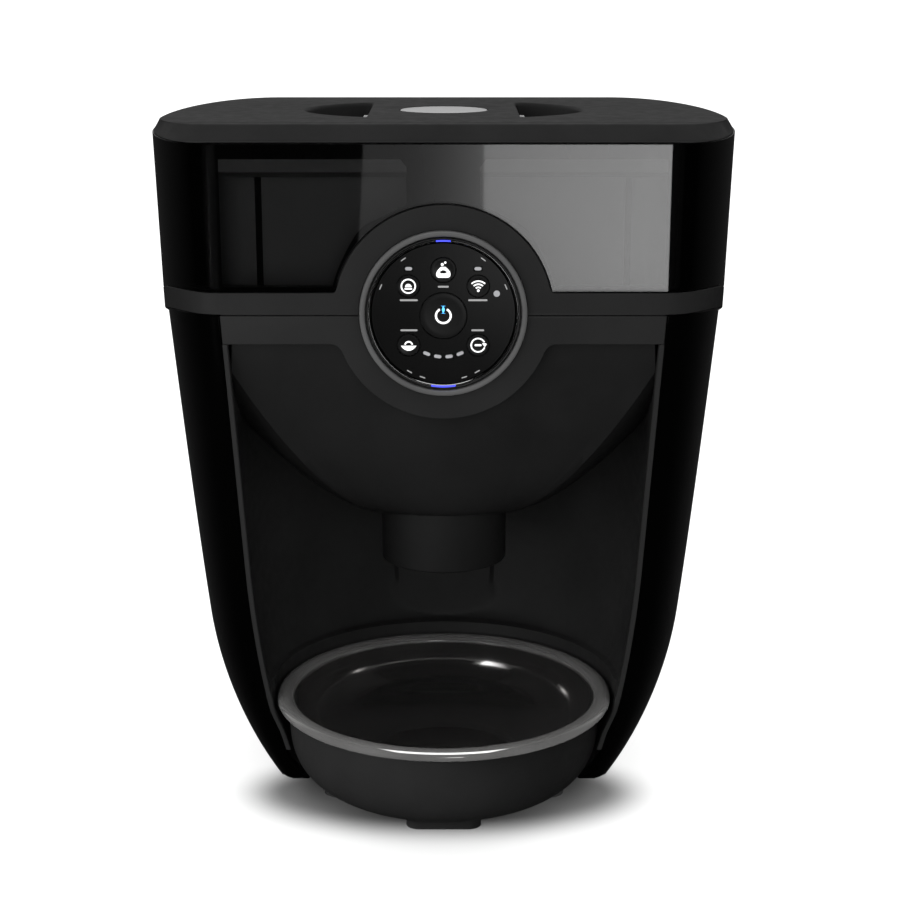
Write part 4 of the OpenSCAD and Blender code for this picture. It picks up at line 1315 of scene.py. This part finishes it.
def bowl():
    """Spun dish with a stepped floor, and the broad rolled rim round it."""
    rim_r, half, tall = RIM_R - 4.6, 4.6, 3.2
    rim_z = BOWL_TOP - tall
    floor_z, high = 21, BOWL_TOP - 3.4
    steel = 1.0
    step_r = 40.0
    inner = [p for p in bowl_curve(81.8 - steel, floor_z + steel, high, 2.6, 56) if p[0] > step_r + 3]
    outer = [p for p in bowl_curve(81.8, floor_z, high - steel, 2.6, 56) if p[0] > 30]
    first = inner[0][1]
    profile = [(1.0, first - 0.2), (step_r - 1.5, first - 0.2), (step_r, first - 0.9)]
    profile += [(step_r + 1.4, first - 0.7)] + inner + [(rim_r, high)]
    profile += list(reversed(outer)) + [(1.0, outer[0][1] - 0.3)]
    dish = Solid()
    dish.lathe(profile, upright(0, BOWL_Y), 192, False)
    make("bowl_dish", dish, bowl_steel, "steel_bowl", ["steel_bowl"], sharp=60)
    rim = Solid()
    rolled = [(rim_r + half * u, rim_z + tall * v) for u, v in circle(0, 0, 1, 48)]
    seated = [(r, max(z, TRAY_TOP + 0.1) if r < TRAY_R + 0.4 else z) for r, z in rolled]
    rim.lathe(seated, upright(0, BOWL_Y), 192)
    make("bowl_rim", rim, rim_chrome, "steel_bowl", sharp=60)


# ---- model parts that keep their own meshes ----

KEPT = [
    (rubber_black, ["rubber_feet", "tray_pads", "lid_gasket"]),
    (panel_gloss, ["control_panel"]),
    (light_grey, ["proximity_sensor"]),
    (board_green, ["control_board", "chute_sensors"]),
    (inner_plastic, ["dial_housing", "dispenser_drum", "battery_box", "dc_inlet"]),
    (paddle_rubber, ["paddle_wheel"]),
    (steel_drawn, ["wheel_shaft", "motor_shaft", "board_screws", "bracket_screws"]),
    (bronze_metal, ["shaft_bushes", "motor_pinion"]),
    (gear_plastic, ["drive_gear"]),
    (zinc_plate, ["gear_motor", "motor_bracket"]),
    (cell_sleeve, ["battery_cells"]),
    (cover_satin, ["battery_door"]),
    (steel_dark, ["rear_screws"]),
    (latch_plastic, ["latch_left", "latch_right"]),
]


def finish_kept():
    for material, names in KEPT:
        for name in names:
            mesh = frame["nodes"][name]
            for slot in mesh.material_slots:
                slot.material = material
            if not mesh.material_slots:
                mesh.data.materials.append(material)


# ---- studio ----

def hide_from(obj, *rays):
    for ray in rays:
        setattr(obj, "visible_" + ray, False)


def floor():
    """White ground that is neither reflected in the feeder nor lights it."""
    reach = 40
    ground = quad("floor", [(-reach, -reach, 0), (reach, -reach, 0), (reach, reach, 0), (-reach, reach, 0)])
    material, tree, shader = new_material("floor_white")
    wire(tree, shader, {"Base Color": (0.36, 0.36, 0.36, 1), "Roughness": 0.9, "Specular IOR Level": 0.0})
    ground.data.materials.append(material)
    hide_from(ground, "glossy", "diffuse")
    return ground


def world():
    """Even light from all round for matte surfaces, a dim room for glossy ones and white behind."""
    made = bpy.data.worlds.new("studio")
    bpy.context.scene.world = made
    made.use_nodes = True
    made.cycles.sampling_method = "NONE"
    tree = made.node_tree
    tree.nodes.clear()
    rays = node(tree, "LightPath")
    coords = node(tree, "TexCoord")
    split = node(tree, "SeparateXYZ", {0: coords.outputs["Generated"]})
    room = ranged(tree, split.outputs["Y"], 0.003, 0.024, -0.1, 0.9)
    rear = ranged(tree, split.outputs["Y"], 0, 0.26, 0.3, 0.8)
    above = ranged(tree, split.outputs["Z"], 0, 1, -0.02, 0.12)
    wall = node(tree, "Math", {0: rear, 1: above}, operation="MULTIPLY").outputs[0]
    glow = node(tree, "Math", {0: room, 1: wall}, operation="ADD").outputs[0]
    even, dim, white = [node(tree, "Background", {"Strength": strength}) for strength in (1.6, glow, 1.0)]
    shiny = blended(tree, rays.outputs["Is Glossy Ray"], even.outputs[0], dim.outputs[0])
    seen = blended(tree, rays.outputs["Is Camera Ray"], shiny, white.outputs[0])
    node(tree, "OutputWorld", {"Surface": seen})


def meshes_except(*left_out):
    return [o for o in bpy.context.scene.objects if o.type == "MESH" and o not in left_out]


def receivers(light, objects):
    """Lets a light act on these objects alone."""
    made = bpy.data.collections.new(light.name + "_receivers")
    light.light_linking.receiver_collection = made
    for obj in objects:
        made.objects.link(obj)


def softbox(name, place, target, size, power, lit, glossy=False):
    """Rectangular light on the given objects: on their matte side, or only as a reflection."""
    data = bpy.data.lights.new(name, "AREA")
    data.shape = "RECTANGLE"
    data.size, data.size_y = size
    data.energy = power
    obj = linked(bpy.data.objects.new(name, data))
    obj.location = place
    obj.rotation_euler = (Vector(target) - obj.location).to_track_quat("-Z", "Y").to_euler()
    hide_from(obj, "camera", "diffuse" if glossy else "glossy")
    receivers(obj, lit)


def card(name, corners, low, high, curve=1.0):
    """Glowing card seen only in reflections; its glow rises from one side to the other."""
    obj = quad(name, corners)
    layer = obj.data.uv_layers.new(name="across")
    for loop, u in zip(obj.data.loops, ((0, 0), (1, 0), (1, 1), (0, 1))):
        layer.data[loop.index].uv = u
    material = bpy.data.materials.new(name)
    material.use_nodes = True
    tree = material.node_tree
    tree.nodes.clear()
    coords = node(tree, "TexCoord")
    split = node(tree, "SeparateXYZ", {0: coords.outputs["UV"]})
    rise = node(tree, "Math", {0: split.outputs["X"], 1: curve}, operation="POWER")
    glow = node(tree, "Emission", {"Strength": ranged(tree, rise.outputs[0], low, high, 0, 1)})
    node(tree, "OutputMaterial", {"Surface": glow.outputs[0]})
    obj.data.materials.append(material)
    hide_from(obj, "camera", "diffuse", "shadow", "transmission")
    return obj


def cards():
    """Two cards in front of the feeder and a bright slanted one at the left, dimmer for the dish."""
    front, low, high = -1.2, -0.01, 0.2
    left, middle, right = -0.1, 0.04, 0.25
    dim = card("dim_card", [(left, front, low), (middle, front, low), (middle, front, high),
                            (left + 0.012, front, high)], 0.1, 0.34, 3)
    bright = card("front_card", [(middle, front, low), (right, front, low), (right, front, high),
                                 (middle, front, high)], 0.72, 1.08)
    slanted = [(-0.64, -0.60, 0.07), (-0.52, -0.72, 0.07), (-0.44, -0.80, 0.26), (-0.70, -0.54, 0.26)]
    edge = card("edge_card", slanted, 0.5, 16, 1.5)
    dish = bpy.data.objects["bowl_dish"]
    seen = meshes_except(dish)
    for reflected in (dim, bright, edge):
        receivers(reflected, seen)
    receivers(card("dish_card", slanted, 0.5, 6, 1.2), [dish])


def under_plate():
    """Unseen plate under the feeder that gives the floor its close soft shadow."""
    half_wide, half_deep, middle, height = 108, 53.5, -45, 20
    plate = Solid()
    plate.cap(plate.row([(half_wide * u, middle + half_deep * v, height) for u, v in circle(0, 0, 1, 64)]))
    obj = solid_object("under_plate", plate)
    hide_from(obj, "camera", "diffuse", "glossy")
    return obj


def floor_wash(ground, plate):
    """Sun on the ground alone, which only the unseen plate blocks."""
    light = bpy.data.lights.new("floor_wash", "SUN")
    light.angle = math.radians(84)
    light.energy = 7.8
    obj = linked(bpy.data.objects.new("floor_wash", light))
    receivers(obj, [ground])
    blockers = bpy.data.collections.new("floor_wash_blockers")
    blockers.objects.link(plate)
    obj.light_linking.blocker_collection = blockers


def lights(ground):
    """The ground's wash, the softboxes on the feeder and the cards that its gloss reflects."""
    plate = under_plate()
    floor_wash(ground, plate)
    pieces = bpy.data.objects
    feeder = meshes_except(ground, plate)
    softbox("key", (-1.7, -0.9, 1.0), (0, 0, 0.12), (1.4, 1.2), 15, feeder)
    softbox("fill", (0, -1.9, 0.7), (0, 0, 0.15), (0.8, 0.8), 4, feeder)
    softbox("side", (-1.2, -0.8, 0.35), (0, -0.05, 0.04), (0.5, 0.5), 31, [pieces["tray"], pieces["tongue"]])
    bright = [pieces[name] for name in ("bowl_rim", "ring", "bezel")]
    softbox("overhead", (0, -0.35, 1.5), (0, 0, 0.1), (1.2, 0.8), 5, bright, glossy=True)
    cards()


def camera():
    """Eye height and distance of the front view."""
    look_down = 14.3
    data = bpy.data.cameras.new("camera")
    data.lens = 78.4
    data.clip_start = 0.05
    data.clip_end = 200
    obj = linked(bpy.data.objects.new("camera", data))
    obj.location = (0.0034, -1.0645, 0.458)
    obj.rotation_euler = (math.radians(90 - look_down), 0, 0)
    bpy.context.scene.camera = obj


def build():
    for side in (-1, 1):
        side_shell(side)
    for piece in (alcove_lips, shell_toes, rear_cover, band, panel, window, window_mask, window_lining, tank,
                  liner, cowl, nozzle, base, tongue, bezel, light_ring):
        piece()
    for name in BUTTONS:
        button(name)
    for piece in (legends, lid, badge, tray, bowl, finish_kept):
        piece()


build()
camera()
world()
lights(floor())
bpy.context.scene.view_settings.view_transform = "Standard"
